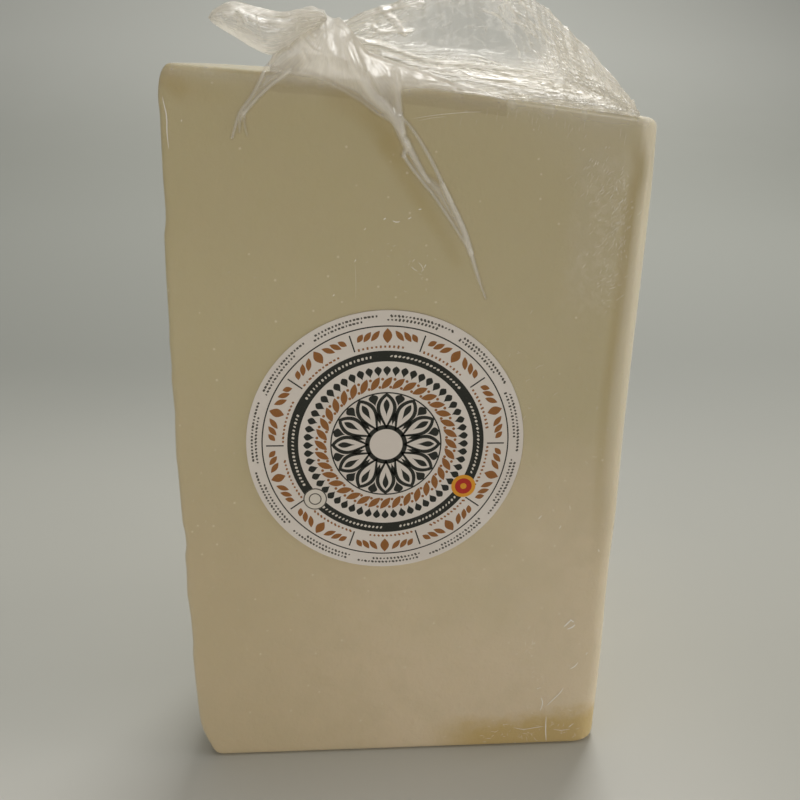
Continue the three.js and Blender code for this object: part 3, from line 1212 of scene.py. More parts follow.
@dataclass
class TightFilm:
    """The film where it lies on the cheese."""

    quarter: Quarter
    steps: Steps = Steps(front=190, edge=14, side=60, heel=90, level=1.7, caps=14)
    stand_off: float = 0.18

    def shine(self, x: np.ndarray, z: np.ndarray, below: np.ndarray) -> np.ndarray:
        """How milky the film looks on the front, where it mirrors the room.

        Args:
            x: places across.
            z: places up.
            below: how far they are under the top.

        Returns:
            The milkiness, from 0 to 1.
        """
        right = smooth(52.0, 60.0, x) * smooth(75.0, 72.0, x)
        right = right * smooth(185.0, 205.0, z) * smooth(8.0, 18.0, below)
        milk = 0.05 * smooth(-20.0, 60.0, x) + 0.07 * right
        milk += 0.09 * smooth(20.0, 70.0, x) * smooth(30.0, 6.0, below)
        bands = 0.9 + 0.2 * smooth(-0.3, 0.3, layers(stack(x / 7.0, 0.0), 63, 2))
        rim_line = 0.4 * smooth(1.4, 0.2, below)
        under_rim = smooth(0.2, 2.4, below) * np.exp(-np.maximum(below - 1.4, 0.0) / 2.6)
        return milk + 0.22 * bands * np.maximum(rim_line, under_rim) * smooth(80.0, 66.0, x)

    def build(self, place: Place) -> None:
        """Builds and dresses the skin.

        Args:
            place: where it lies.
        """
        q = self.quarter
        points, faces = q.shell(self.steps, self.stand_off)
        x, depth, z = points.T.copy()
        below = q.top(x, depth) - z
        front = smooth(6.0, 1.0, depth)
        patchy = smooth(-0.15, 0.4, layers(stack(x / 26.0, depth / 26.0, z / 34.0), 61, 2))
        rim = 0.3 * smooth(5.0, 0.5, below) * creases(stack(x / 5.0, depth / 5.0), 5, 2) ** 2
        made = mesh_object("film_skin", place.metres(q.relief(points)), faces)
        paint(made, milk=self.shine(x, z, below) * front + rim, air=0.0)
        paint(made, wrinkle=(1.0 - front) * (0.08 + 0.4 * patchy))
        paint(made, dull=0.85 * bell(below - 0.8, 1.4) * smooth(5.0, 2.5, depth))
        finish_piece(made, TIGHT_FILM.material(), "film")


def mark(line: Line, half: float, milk: float) -> Stroke:
    """A light line of even width on the tight film."""
    return Stroke(line, (half, half), (0.14, 0.14), (milk, milk))


LINES = (
    mark(((-1, 256), (3.6, 256.8), (8.6, 257.5), (13.5, 258), (18.5, 258.4), (22.5, 258.5)), 0.13, 0.3),
    mark(((1.3, 255.4), (5.9, 256.4), (10.6, 256.9)), 0.1, 0.2),
    mark(((-9.8, 222.7), (-8.9, 223.3)), 0.29, 0.55),
    mark(((-6.8, 222.4), (-5.4, 221.9), (-4, 222.1)), 0.23, 0.6),
    mark(((-1.4, 222.9), (-0.2, 223.6)), 0.24, 0.5),
    mark(((2.1, 226.2), (3.3, 226.4)), 0.23, 0.5),
    mark(((0, 206.6), (1.1, 205.5), (2.5, 204.8)), 0.14, 0.5),
    mark(((2.5, 208), (3.5, 207), (4.3, 205.5), (3.6, 204.5)), 0.14, 0.5),
    mark(((4.6, 205.9), (5.3, 207.3)), 0.16, 0.5),
    mark(((0.4, 208), (1.4, 209.1)), 0.14, 0.4),
    mark(((-16.5, 219), (-15.6, 219.9)), 0.18, 0.35),
    mark(((-19.6, 208), (-19.1, 209)), 0.22, 0.45),
    mark(((-19.4, 207.3), (-19.2, 203.4), (-19.1, 199.9), (-19.2, 194.5)), 0.08, 0.2),
    mark(((-27.2, 195.8), (-26.5, 196.6)), 0.24, 0.45),
    mark(((-80.9, 262.2), (-80.6, 258.5), (-80.4, 254.8), (-80.6, 251), (-80.4, 245.5)), 0.29, 0.42),
    mark(((-75.9, 254.2), (-75.6, 255)), 0.2, 0.4),
    mark(((58.3, 24.3), (59.1, 21.3), (58.4, 17.3)), 0.29, 0.42),
    mark(((67.2, 29), (65.8, 26), (63.1, 22.6), (60.7, 19.7)), 0.32, 0.34),
    mark(((47.4, 9.6), (51.7, 8.4), (56.4, 9), (60.6, 9.6)), 0.16, 0.42),
    mark(((61.1, 14.6), (61.3, 8.5), (62, 1.8)), 0.36, 0.3),
    mark(((64.6, 7.9), (68, 7.2), (71.4, 7.8)), 0.16, 0.35),
    mark(((70.5, 8.6), (72.1, 10.1)), 0.22, 0.35),
    mark(((55.9, 28.4), (58, 29.3)), 0.22, 0.3),
    mark(((74.4, 44.4), (75.1, 45.8)), 0.25, 0.35),
    mark(((68.7, 37.8), (70.7, 39.2), (71.8, 41.1)), 0.43, 0.22),
    mark(((65, 58.1), (66.5, 59.9), (68, 61.8)), 0.58, 0.22),
    mark(((66.3, 57.1), (68.3, 58), (69.5, 59.4)), 0.58, 0.24),
    mark(((67.2, 61.8), (69, 60.3)), 0.43, 0.22),
    mark(((51.4, 107.1), (52.9, 108.8)), 0.24, 0.4),
    mark(((60.1, 102.7), (60.7, 104.4)), 0.2, 0.35),
    mark(((63.4, 113), (63.8, 110.8)), 0.17, 0.3),
    mark(((75.3, 93.5), (75.8, 92.2)), 0.22, 0.4),
    mark(((67.5, 230.1), (68.6, 231.9)), 0.16, 0.35),
)

CRINKLES = (
    Crinkles(((62, 243), (67, 229), (69, 216)), 7, 120, 5, 58, 16, (0.6, 2.6), milk=(0.05, 0.5)),
    Crinkles(((71, 238), (72, 224), (73, 208)), 2.2, 44, 6, 80, 18, (0.6, 2), milk=(0.1, 0.6)),
    Crinkles(((64, 213), (69, 204), (71, 190)), 6, 40, 7, 56, 26, (0.6, 2.2), milk=(0.05, 0.5)),
    Crinkles(((46, 180), (58, 150), (66, 120)), 16, 26, 8, 80, 40, (0.8, 2.4), milk=(0.1, 0.3)),
    Crinkles(((-66, 240), (-68, 150), (-66, 60)), 16, 22, 9, 80, 50, (0.6, 1.6), milk=(0.1, 0.3)),
    Crinkles(((30, 7), (50, 7), (74, 9)), 7, 44, 10, 10, 50, (0.8, 3), milk=(0.15, 0.4)),
    Crinkles(((45, 60), (58, 40), (62, 22)), 9, 30, 11, 70, 40, (0.8, 2.6), milk=(0.1, 0.28)),
    Crinkles(((-10, 212), (0, 206), (6, 204)), 8, 22, 12, 20, 60, (0.5, 1.4), milk=(0.15, 0.4)),
    Crinkles(((10, 257), (40, 255), (70, 250)), 4, 26, 13, 84, 10, (1.5, 4), 0.06, milk=(0.05, 0.2)),
    Crinkles(((0, 180), (20, 160), (45, 200)), 30, 24, 14, 60, 60, (0.5, 1.5), milk=(0.1, 0.3)),
)


@dataclass
class Wrinkles:
    """The small raised wrinkles and trapped bubbles of the film on the front face."""

    quarter: Quarter
    stand_off: float = 0.2
    lowest: float = 1.0
    pale: float = 0.92
    row: float = 0.5
    fewest_rows: int = 7
    blunt: float = 0.02
    section: Line = ((-1.0, 0.0), (0.0, 1.0), (1.0, 0.0))

    def ribbon(self, stroke: Stroke) -> np.ndarray:
        """The points of one wrinkle.

        Args:
            stroke: where it runs.

        Returns:
            x, depth and z for each row and each place of the section.
        """
        knots = np.array(stroke.line, float)
        span = np.linalg.norm(np.diff(knots, axis=0), axis=1).sum()
        t = np.linspace(0.0, 1.0, max(self.fewest_rows, int(span / self.row)))
        line = through(knots, t) if len(knots) > 2 else knots[0] + (knots[1] - knots[0]) * t[:, None]
        way = np.gradient(line, axis=0)
        way /= np.linalg.norm(way, axis=1)[:, None]
        aside = np.column_stack([-way[:, 1], way[:, 0]])
        taper = np.sqrt(np.clip(np.sin(np.pi * t), 0.0, 1.0)) + self.blunt
        half = between(stroke.half, t) * taper * (0.3 + 0.9 * between(stroke.milk, t))
        offset, profile = np.array(self.section).T
        flat = line[:, None] + aside[:, None] * (half[:, None] * offset)[..., None]
        lift = self.stand_off + stroke.lift[0] * taper[:, None] * profile
        return stack(flat[..., 0], -lift, flat[..., 1])

    def build(self, place: Place) -> None:
        """Builds and dresses the wrinkles, without those that would reach the foot.

        Args:
            place: where they lie.
        """
        points, faces, count = [], [], 0
        for stroke in (stroke for part in LINES + CRINKLES for stroke in part.strokes()):
            if min(z for _, z in stroke.line) >= self.lowest:
                grid = self.ribbon(stroke)
                faces.append(grid_faces(*grid.shape[:2], False)[:, ::-1] + count)
                points.append(grid.reshape(-1, 3))
                count += len(points[-1])
        every = self.quarter.relief(np.concatenate(points))
        made = mesh_object("film_wrinkles", place.metres(every), [np.concatenate(faces)])
        paint(made, milk=self.pale, air=0.0, wrinkle=0.0, dull=0.0)
        finish_piece(made, TIGHT_FILM.material(), "film")


# ---- The loose film ----

ARCH = (
    (-37.3, 270.3), (-30.9, 268.5), (-24.4, 265.5), (-17.9, 261.9), (-12.7, 258.2), (-7, 254.7),
    (-2.3, 247.7),
)
FOLD = (
    (-24.4, 286.7), (-20.6, 283.2), (-17.4, 279.1), (-13.5, 275.8), (-8.3, 274.1), (-5.1, 273.2), (-0.2, 272),
)
RIGHT_LOW = (
    (-3.2, 244.1), (-0.4, 240.2), (3.4, 235.6), (7.6, 230.6), (11.9, 224.5), (15.5, 219.4), (20.4, 211.8),
)
RIGHT_HIGH = (
    (-4.4, 257), (0.3, 251.6), (5.5, 243.6), (10.2, 234.7), (12.8, 229.6), (17.6, 220.1), (20.7, 211.4),
)
LEFT_LOW = ((-48.8, 270.1), (-50.8, 266.1), (-53.2, 262.3), (-55.9, 258.9), (-57.6, 256.1), (-59.8, 249.4))
LEFT_HIGH = ((-40.5, 270.8), (-43.7, 268.3), (-46.3, 266.5), (-49.6, 263.6), (-51.9, 261.4), (-55.9, 257))

VEILS = (
    Veil(
        (*ARCH, (-3.7, 251.9), (-5.1, 258.2), (-5.9, 266.7), (-6.3, 271), (-8, 295), (-41, 295)),
        2.6, 0.34, 9,
    ),
    Veil((*ARCH[3:], (-4, 250.9), (-7.4, 257.6), (-14, 263.5), (-19.6, 274.2)), 0.3, 0.2, 2.5),
    Veil((*RIGHT_LOW, *RIGHT_HIGH[:2:-1]), 0.5, 0.34, 2.4),
    Veil((*LEFT_LOW, *LEFT_HIGH[::-1]), 0.8, 0.34, 2),
)

# Strokes of painted shade on the cheese: the shadow beside the apron's edge and down the right pleat, under
# the film's folds, and two at the top-left corner.
SHADE_STROKES = (
    Stroke(((-25, 262.5), (-17, 258.5), (-11.5, 253.5), (-8, 247)), (4.5, 3.6), (0, 0), (0.5, 0.9)),
    Stroke(((-8, 248), (-4, 240), (3, 229), (11, 217), (16, 208)), (3.4, 2.2), (0, 0), (0.9, 0.4)),
    Stroke(((-80, 270), (-77.5, 267), (-75.5, 264.5)), (3.4, 2.6), (0, 0), (1, 0.9)),
    Stroke(((-79, 268), (-72, 264.5), (-63, 263.5)), (5.2, 3.6), (0, 0), (0.5, 0.2)),
)

FOLDS = (
    Stroke(ARCH, (0.7, 0.6), (0.5, 0.6), (0.12, 0.3)),
    Stroke(
        ((-21.5, 279.6), (-18.6, 271.2), (-14, 263.5), (-7.4, 257.6), (-4, 250.9), (-2.3, 247.7)),
        (1.7, 1.1), (2.6, 1.6), (0.5, 0.62),
    ),
    Stroke(
        ((-6.3, 271), (-5.9, 266.7), (-5.5, 262), (-5.1, 258.2), (-4.4, 255.1), (-3.7, 251.9)),
        (1.2, 1), (2, 1.8), (0.45, 0.6),
    ),
    Stroke(((-1.9, 247.1), (-2.9, 245.4), (-3.2, 244.1)), (0.7, 0.7), (1, 1), (0.5, 0.6)),
    Stroke(RIGHT_LOW, (0.6, 0.5), (0.9, 0.6), (0.42, 0.4)),
    Stroke(
        ((-2.6, 248.4), (-1.2, 246.1), (0.9, 242.5), (3.3, 238.6), (5.4, 235.6)),
        (1.3, 0.6), (1.6, 0.8), (0.62, 0.45),
    ),
    Stroke(RIGHT_HIGH[:5], (0.5, 0.7), (0.8, 1.2), (0.25, 0.6)),
    Stroke(RIGHT_HIGH[3:], (0.7, 0.9), (1.2, 1.3), (0.6, 0.75)),
    Stroke(((20.4, 212.4), (23.6, 202.9), (24.8, 199.7), (26.8, 195)), (0.7, 0.3), (0.9, 0.3), (0.6, 0.25)),
    Stroke(LEFT_LOW, (0.6, 0.4), (0.9, 0.5), (0.5, 0.4)),
    Stroke(LEFT_HIGH, (0.6, 0.5), (0.9, 0.7), (0.5, 0.5)),
    Stroke(((-55.9, 257.6), (-57, 254.5), (-57.4, 251.3)), (0.4, 0.3), (0.4, 0.2), (0.4, 0.2)),
    Stroke(((-55.2, 258.3), (-55.7, 254.5), (-54.9, 250.1)), (0.4, 0.3), (0.4, 0.2), (0.35, 0.15)),
)

# Folds of the gathered film at the neck. Their milkiness is partly the film's whitening at a fold and partly
# painted highlight where the light catches them.
NECK_FOLDS = (
    Stroke(((-36.5, 286), (-33.5, 286.9), (-29.8, 286.6)), (0.8, 0.6), (1.6, 1.2), (0.9, 1)),
    Stroke(((-36.3, 285.6), (-34.3, 283), (-32.6, 280.4)), (1.1, 0.6), (1.7, 1), (0.85, 0.6)),
    Stroke(((-33, 281), (-31.2, 282.8), (-29.6, 285.4)), (0.8, 0.6), (1.4, 0.9), (0.7, 0.8)),
    Stroke(((-25, 285.6), (-22.8, 284.4), (-21.2, 282.4), (-20, 280.4)), (0.9, 1.1), (2.4, 2.2), (0.9, 1)),
    Stroke(
        ((-20.3, 281.2), (-19.4, 278.2), (-18, 274.6), (-16.4, 271.4)),
        (0.8, 0.6), (1.8, 1.4), (0.9, 0.6),
    ),
    Stroke(((-19.8, 281.4), (-17.3, 278.2), (-14.6, 275.8)), (0.9, 0.9), (1.8, 1.6), (0.9, 1)),
    Stroke(((-42, 279.6), (-43.4, 277.4), (-44.6, 275.4), (-46.6, 272.8)), (1, 0.8), (2, 1.4), (0.9, 0.8)),
    Stroke(((-43.4, 277.2), (-41.5, 277.6), (-40, 277)), (0.7, 0.5), (1.2, 0.8), (0.8, 0.6)),
    Stroke(((-30.7, 283.4), (-27.6, 283)), (0.5, 0.4), (0.8, 0.8), (0.8, 0.8)),
    Stroke(((-38.6, 283.8), (-35.4, 280), (-33, 277.6), (-31.6, 277)), (1, 0.8), (1.5, 1), (0.5, 0.4)),
    Stroke(((-36, 276.6), (-35, 273.6), (-36.8, 271.2)), (0.8, 0.7), (1.2, 1), (0.4, 0.3)),
    Stroke(((-29, 281), (-27, 276), (-25.6, 271)), (1.4, 1.2), (1, 0.6), (0.3, 0.2)),
    Stroke(
        ((-13.4, 275.4), (-8.3, 273.4), (-0.2, 271.2), (4.8, 269.6), (10.4, 267.9)),
        (0.7, 0.6), (1, 0.7), (0.5, 0.45),
    ),
    Stroke(((1.6, 267.3), (5.5, 267.3), (10.5, 266.7), (16.8, 265.7)), (0.6, 0.4), (0.8, 0.6), (0.6, 0.7)),
    Stroke(((9, 268.4), (15, 266.6), (24, 264.6), (30, 263)), (0.8, 0.6), (0.8, 0.6), (0.8, 0.9)),
)

CREST = (
    (-62, 270.2), (-50, 270.4), (-47, 273.4), (-44.5, 278), (-41, 284.5), (-37.5, 289.2), (-35, 290.3),
    (-31, 289.5), (-29.2, 289.2), (-28.6, 287.6), (-26.6, 286.9), *FOLD, (4.8, 270.3), (10.4, 268.5),
    (16.7, 266.1), (24.8, 264), (31, 262.4),
)


@dataclass
class Curtain:
    """The film that is gathered on the rim and falls over it: the neck, the apron and its pleats."""

    quarter: Quarter
    low: float = 182.0
    left: float = -62.0
    right: float = 31.0
    cell: float = 0.42
    rows: int = 250
    back_rows: int = 60
    back_left: float = -49.0
    back_run: float = 9.0
    back_gap: float = 0.3
    stand_off: float = 0.35
    below_rim: float = 5.5
    gather: Pair = (-25.0, 290.0)
    thread_scale: float = 26.0

    def turn_and_reach(self, x: np.ndarray, z: np.ndarray) -> tuple[np.ndarray, np.ndarray]:
        """The direction and the distance from the gather, for each point."""
        across, down = x - self.gather[0], self.gather[1] - z
        return np.arctan2(across, np.maximum(down, 0.5)), np.hypot(across, down)

    def fades(self, x: np.ndarray) -> tuple[np.ndarray, np.ndarray]:
        """How the neck fades in at its left and out at its right."""
        return smooth(-50.0, -43.0, x), smooth(self.right, 17.0, x)

    def crest(self, x: np.ndarray) -> np.ndarray:
        """Height of the neck's crest, a little ragged."""
        return np.interp(x, *np.array(CREST, float).T) + 0.35 * noise(stack(x / 2.2, 0.0), 71)

    def front(self, x: np.ndarray, z: np.ndarray, over_rim: np.ndarray) -> tuple[np.ndarray, ...]:
        """The film in front of the crest.

        Args:
            x: places across, one for each column.
            z: places up, for each column and row.
            over_rim: how far they are above the cheese's rim.

        Returns:
            The lift off the front, the milkiness, how much air is behind, and whether there is film.
        """
        across = np.broadcast_to(x, z.shape)
        lift, milk = np.zeros(z.shape), np.zeros(z.shape)
        for veil in VEILS:
            up, pale = veil.over(across, z)
            lift += up
            milk = screened(milk, pale)
        kept = milk > 0.0
        up, pale = pressed(FOLDS + NECK_FOLDS, across, z)
        lift += up
        milk = screened(milk, pale)
        fade_in, fade_out = self.fades(x)
        sides = fade_in * fade_out
        kept |= (up > 0.0) | (over_rim > -self.below_rim) & (sides > 0.0)
        turn, reach = self.turn_and_reach(x, z)
        near_rim = smooth(-self.below_rim, 2.5, over_rim)
        rays = creases(stack(turn * 5.5, reach / 22.0), 73, 3)
        broad = layers(stack(turn * 2.2, reach / 16.0), 79, 2)
        facets = smooth(-0.35, 0.4, layers(stack(turn * 2.6, reach / 26.0), 77, 2))
        lift += near_rim * (0.5 + 0.5 * rays * smooth(0.0, 10.0, reach)) * smooth(self.right, 12.0, x)
        calm_right = 1.0 - 0.5 * smooth(-16.0, -8.0, x)
        lift += near_rim * calm_right * broad * smooth(0.0, 8.0, reach) * smooth(self.right, 6.0, x)
        hem = -2.6 + 2.2 * smooth(-9.0, 6.0, x)
        sheet = smooth(-14.0, -4.0, x) * smooth(hem - 1.5, hem + 1.5, over_rim)
        body = 0.27 + 0.2 * facets + 0.1 * rays + 0.1 * sheet
        milk = screened(milk, smooth(hem - 1.5, hem + 4.5 - 2.5 * sheet, over_rim) * sides * body)
        return lift, milk, np.maximum(smooth(-1.0, 3.0, over_rim), 0.35 * pale), kept

    def build(self, place: Place) -> None:
        """Builds and dresses the curtain.

        Args:
            place: where it lies.
        """
        q = self.quarter
        x = np.arange(self.left, self.right, self.cell)[:, None]
        crest, rim = self.crest(x), q.top(x, 0.0)
        stands = np.maximum(crest - rim, 0.0)
        crest_depth = 0.6 + 0.12 * stands
        z = self.low + (crest - self.low) * np.linspace(0.0, 1.0, self.rows) ** 0.85
        over_rim = z - rim
        lift, milk, air, kept = self.front(x, z, over_rim)
        depth = -self.stand_off - lift
        share = np.clip(over_rim / np.maximum(stands, 0.5), 0.0, 1.0)
        depth = depth + (crest_depth - depth) * share**1.5 * smooth(-1.0, 1.0, over_rim)
        s = np.linspace(0.0, 1.0, self.back_rows + 1)[1:]
        back_depth = crest_depth + s * (self.back_run + 0.5 * stands)
        wave = creases(stack(x / 4.0, back_depth / 9.0), 74, 3)
        floor = q.top(x, back_depth) + self.back_gap
        back_z = floor + (crest - rim) * (1.0 - s) ** 1.6 + wave * np.sin(np.pi * s)
        fade_in, fade_out = self.fades(x)

        def joined(front: np.ndarray, back: np.ndarray) -> np.ndarray:
            """The front's values and then the back's, for each column."""
            return np.concatenate([front, np.broadcast_to(back, wave.shape + front.shape[2:])], axis=1)

        points = joined(stack(x, depth, z), stack(x, back_depth, back_z))
        milk = joined(milk, (0.35 + 0.5 * wave**2) * fade_in * fade_out)
        air = joined(air, 1.0)
        faces = grid_faces(*points.shape[:2], False)[:, ::-1]
        faces = faces[joined(kept, x > self.back_left).ravel()[faces].any(axis=1)]
        used, index = np.unique(faces, return_inverse=True)
        made = mesh_object("film_curtain", place.metres(points.reshape(-1, 3)[used]), [index.reshape(-1, 4)])
        turn, _ = self.turn_and_reach(points[..., 0], points[..., 2])
        values = {
            "milk": milk,
            "air": air,
            "across": turn * self.thread_scale,
            "along": points[..., 1] + self.gather[1] - points[..., 2],
            "fibre": (0.1 + 0.02 * air) * np.minimum(3.0 * milk, 1.0),
        }
        paint(made, **{name: value.ravel()[used] for name, value in values.items()})
        finish_piece(made, LOOSE_FILM.material(), "film", "film")


# The ear from its tip to the gather: x, lowest z, highest z, front depth and back depth of its loop.
EAR = (
    (-65.6, 285.4, 286.8, -2, 0), (-63, 283.6, 289, -5, 3), (-58.5, 281, 290.9, -7, 5),
    (-53, 277.8, 290, -7.5, 7), (-47, 275.4, 288.8, -6.5, 8.5), (-42, 276.6, 288.5, -5, 8),
    (-37, 279.5, 289.4, -2.6, 7), (-32, 282.5, 289, -0.8, 5), (-28.5, 285, 288, 0.6, 3),
)

# Folds of the ear. Their milkiness is partly the film's whitening at a fold and partly painted highlight
# where the light catches them.
EAR_FOLDS = (
    Stroke(
        ((-63.7, 287.4), (-61, 288.6), (-55.4, 288.9), (-50.8, 288), (-46.2, 287.4), (-41.2, 287.3)),
        (0.7, 0.8), (0.8, 0.9), (0.6, 0.8),
    ),
    Stroke(
        ((-52, 286.2), (-49.9, 285.4), (-44.7, 284.9), (-39.4, 284.1)),
        (0.8, 0.7), (0.9, 0.9), (0.35, 0.5),
    ),
    Stroke(((-60, 287), (-57.8, 287.3), (-56, 286.2), (-55.2, 284.6)), (0.8, 0.7), (0.9, 0.6), (0.6, 0.8)),
    Stroke(((-55.3, 288), (-54.5, 286.7), (-53.6, 285.2)), (0.8, 0.5), (0.8, 0.5), (0.8, 0.5)),
    Stroke(((-55.4, 285.4), (-56, 282.3), (-55, 280.4)), (0.6, 0.8), (0.7, 0.5), (0.45, 0.3)),
    Stroke(((-54.6, 281.4), (-51.3, 280), (-48.9, 277.4)), (1.8, 1.4), (0.5, 0.5), (0.5, 0.3)),
    Stroke(
        ((-62.6, 284.2), (-59, 282.1), (-55.7, 280.4), (-52.6, 278.4), (-49, 276.8)),
        (0.7, 0.9), (0.5, 0.5), (0.35, 0.5),
    ),
    Stroke(((-50, 287), (-49.6, 283), (-49, 279)), (0.5, 0.5), (0.5, 0.4), (0.3, 0.15)),
    Stroke(((-64, 286.6), (-61.6, 285.6), (-60, 283.6)), (0.6, 0.5), (0.5, 0.4), (0.5, 0.3)),
)


@dataclass
class Ear:
    """The end of the bag that turns over at the left: a blown loop of film, open to the light."""

    along: int = 260
    around: int = 150
    pinch: float = 0.05
    thread_scale: float = 8.0
    threads: float = 0.55

    def build(self, place: Place) -> None:
        """Builds and dresses the ear.

        Args:
            place: where it lies.
        """
        u = np.linspace(0.0, 1.0, self.along)
        spine, low, high, front, back = (column[:, None] for column in through(np.array(EAR, float), u).T)
        turn = np.linspace(0.0, 2 * np.pi, self.around, endpoint=False)[None, :]
        out, up = np.cos(turn), np.sin(turn)
        closing = np.sqrt(np.clip(np.minimum(u, 1.0 - u) / self.pinch, 0.0, 1.0))[:, None]
        middle_z, half_z = (low + high) / 2, (high - low) / 2 * closing
        middle_y, half_y = (front + back) / 2, (back - front) / 2 * closing
        flat = stack(spine / 16.0, out * 2.2, up * 2.2)
        folds = creases(flat, 81, 3)
        broad = layers(flat * [1.2, 0.7, 0.7], 85, 2)
        swell = (1.5 * broad - (1.0 + smooth(-50.0, -40.0, spine)) * folds + 0.3) * closing
        z = middle_z + up * (half_z + 0.25 * swell)
        y = middle_y - out * np.abs(out) ** 0.75 * (half_y + 1.1 * swell)
        x = spine + 0.8 * broad * closing
        lifted, pale = pressed(EAR_FOLDS, x, z)
        facing = smooth(0.1, 0.5, out)
        faces = grid_faces(self.along, self.around, True)
        made = mesh_object("film_ear", place.metres(stack(x, y - lifted * facing, z)), [faces])
        milk = 0.2 + 0.4 * smooth(-46.0, -38.0, spine) + 0.25 * smooth(-60.0, -66.0, spine)
        milk = milk + 0.3 * np.abs(up) ** 6 + 0.5 * folds**3
        paint(made, milk=np.clip(milk + pale * facing, 0.0, 1.0), air=1.0, fibre=self.threads)
        paint(made, across=np.broadcast_to(turn * self.thread_scale, x.shape), along=x)
        finish_piece(made, LOOSE_FILM.material(), "film", "film")


# The fan's ridge from the axis edge to the gather: x, depth and z.
FAN_RIDGE = (
    (75.4, 4.5, 258.4), (76.2, 7, 261), (75, 11, 263.4), (71.6, 20, 269.2), (66.4, 34, 278),
    (59.4, 42, 284.6), (53.1, 46, 290.7), (43.4, 49, 295.4), (24, 51, 298.4), (9, 47, 296.5),
    (-5.8, 42, 292.7), (-20.2, 34, 287), (-37, 20, 279), (-47, 14, 271.5),
)

# Folds and crinkles of the fan. Their milkiness is partly the film's whitening at a fold and partly painted
# highlight where the light catches them.
FAN_FOLDS = (
    Stroke(((-9.4, 291.6), (-6.8, 288.6), (-4.4, 286.4), (-1.5, 282.4)), (1.5, 1), (1.9, 1.2), (0.9, 1)),
    Stroke(
        ((-12, 284.2), (-9.8, 282.6), (-5.7, 282.9), (-2.3, 282.7), (1.3, 283.4)),
        (0.7, 0.6), (1, 0.8), (0.9, 0.8),
    ),
    Stroke(
        ((-21, 285.8), (-16.7, 287), (-9.7, 289.2), (-2.7, 290.9), (6.1, 292.6)),
        (0.6, 0.7), (0.8, 1), (0.6, 0.6),
    ),
    Stroke(((-4, 291.6), (-5.2, 290.6), (-7.4, 291.2)), (0.6, 0.5), (0.7, 0.5), (0.9, 0.7)),
    Stroke(
        ((28, 290.6), (31, 289.6), (33.5, 288.7), (35.9, 285.7), (38.6, 283)),
        (0.5, 0.4), (0.3, 0.2), (0.8, 0.3),
    ),
    Stroke(((36, 296), (39, 290), (42.5, 285), (44, 279)), (0.6, 0.4), (0.3, 0.2), (0.8, 0.3)),
    Stroke(
        ((40, 296.5), (47, 288.5), (54, 279.5), (63, 268.5), (72, 260.5)),
        (0.7, 0.6), (0.5, 0.4), (0.6, 0.6),
    ),
    Crinkles(
        ((36, 293), (48, 284), (60, 271), (71, 261.5)),
        7, 90, 31, -50, 16, (2.5, 9), 0.34, 0.3, (0.3, 0.9),
    ),
    Crinkles(((34, 295), (42, 284), (50, 272)), 6, 34, 32, -72, 20, (1.5, 6), 0.3, 0.25, (0.3, 0.8)),
    Crinkles(((8, 270), (30, 269), (56, 264)), 7, 70, 33, -8, 12, (3, 9), 0.3, 0.25, (0.3, 0.9)),
    Crinkles(((-14, 288), (-2, 288), (12, 290)), 7, 16, 34, 12, 24, (2, 6), 0.3, 0.25, (0.15, 0.6)),
    Crinkles(((0, 279), (16, 280), (32, 282)), 9, 56, 35, 10, 50, (1, 4.5), 0.22, 0.1, (0.05, 0.22)),
    Crinkles(((4, 288), (24, 289), (42, 286)), 9, 64, 36, 24, 50, (1, 5), 0.22, 0.15, (0.08, 0.34)),
    Stroke(((-19, 280.6), (-6, 277.4), (6, 273.8), (20, 272.8), (38, 271)), (0.7, 0.5), (1, 0.7), (0.8, 0.5)),
    Stroke(((-10, 276), (4, 271.8), (15, 270.6), (34, 267.6), (62, 261.6)), (0.9, 0.6), (1, 0.8), (1, 0.7)),
    Stroke(((6, 269.8), (20, 267.9), (40, 264.8), (70, 259.6)), (0.8, 0.5), (0.8, 0.7), (1, 0.9)),
)


@dataclass(frozen=True)
class FanSide:
    """One sheet of the fan. It faces -1, to the front, or 1, to the back."""

    name: str
    facing: int
    across: int
    seed: int


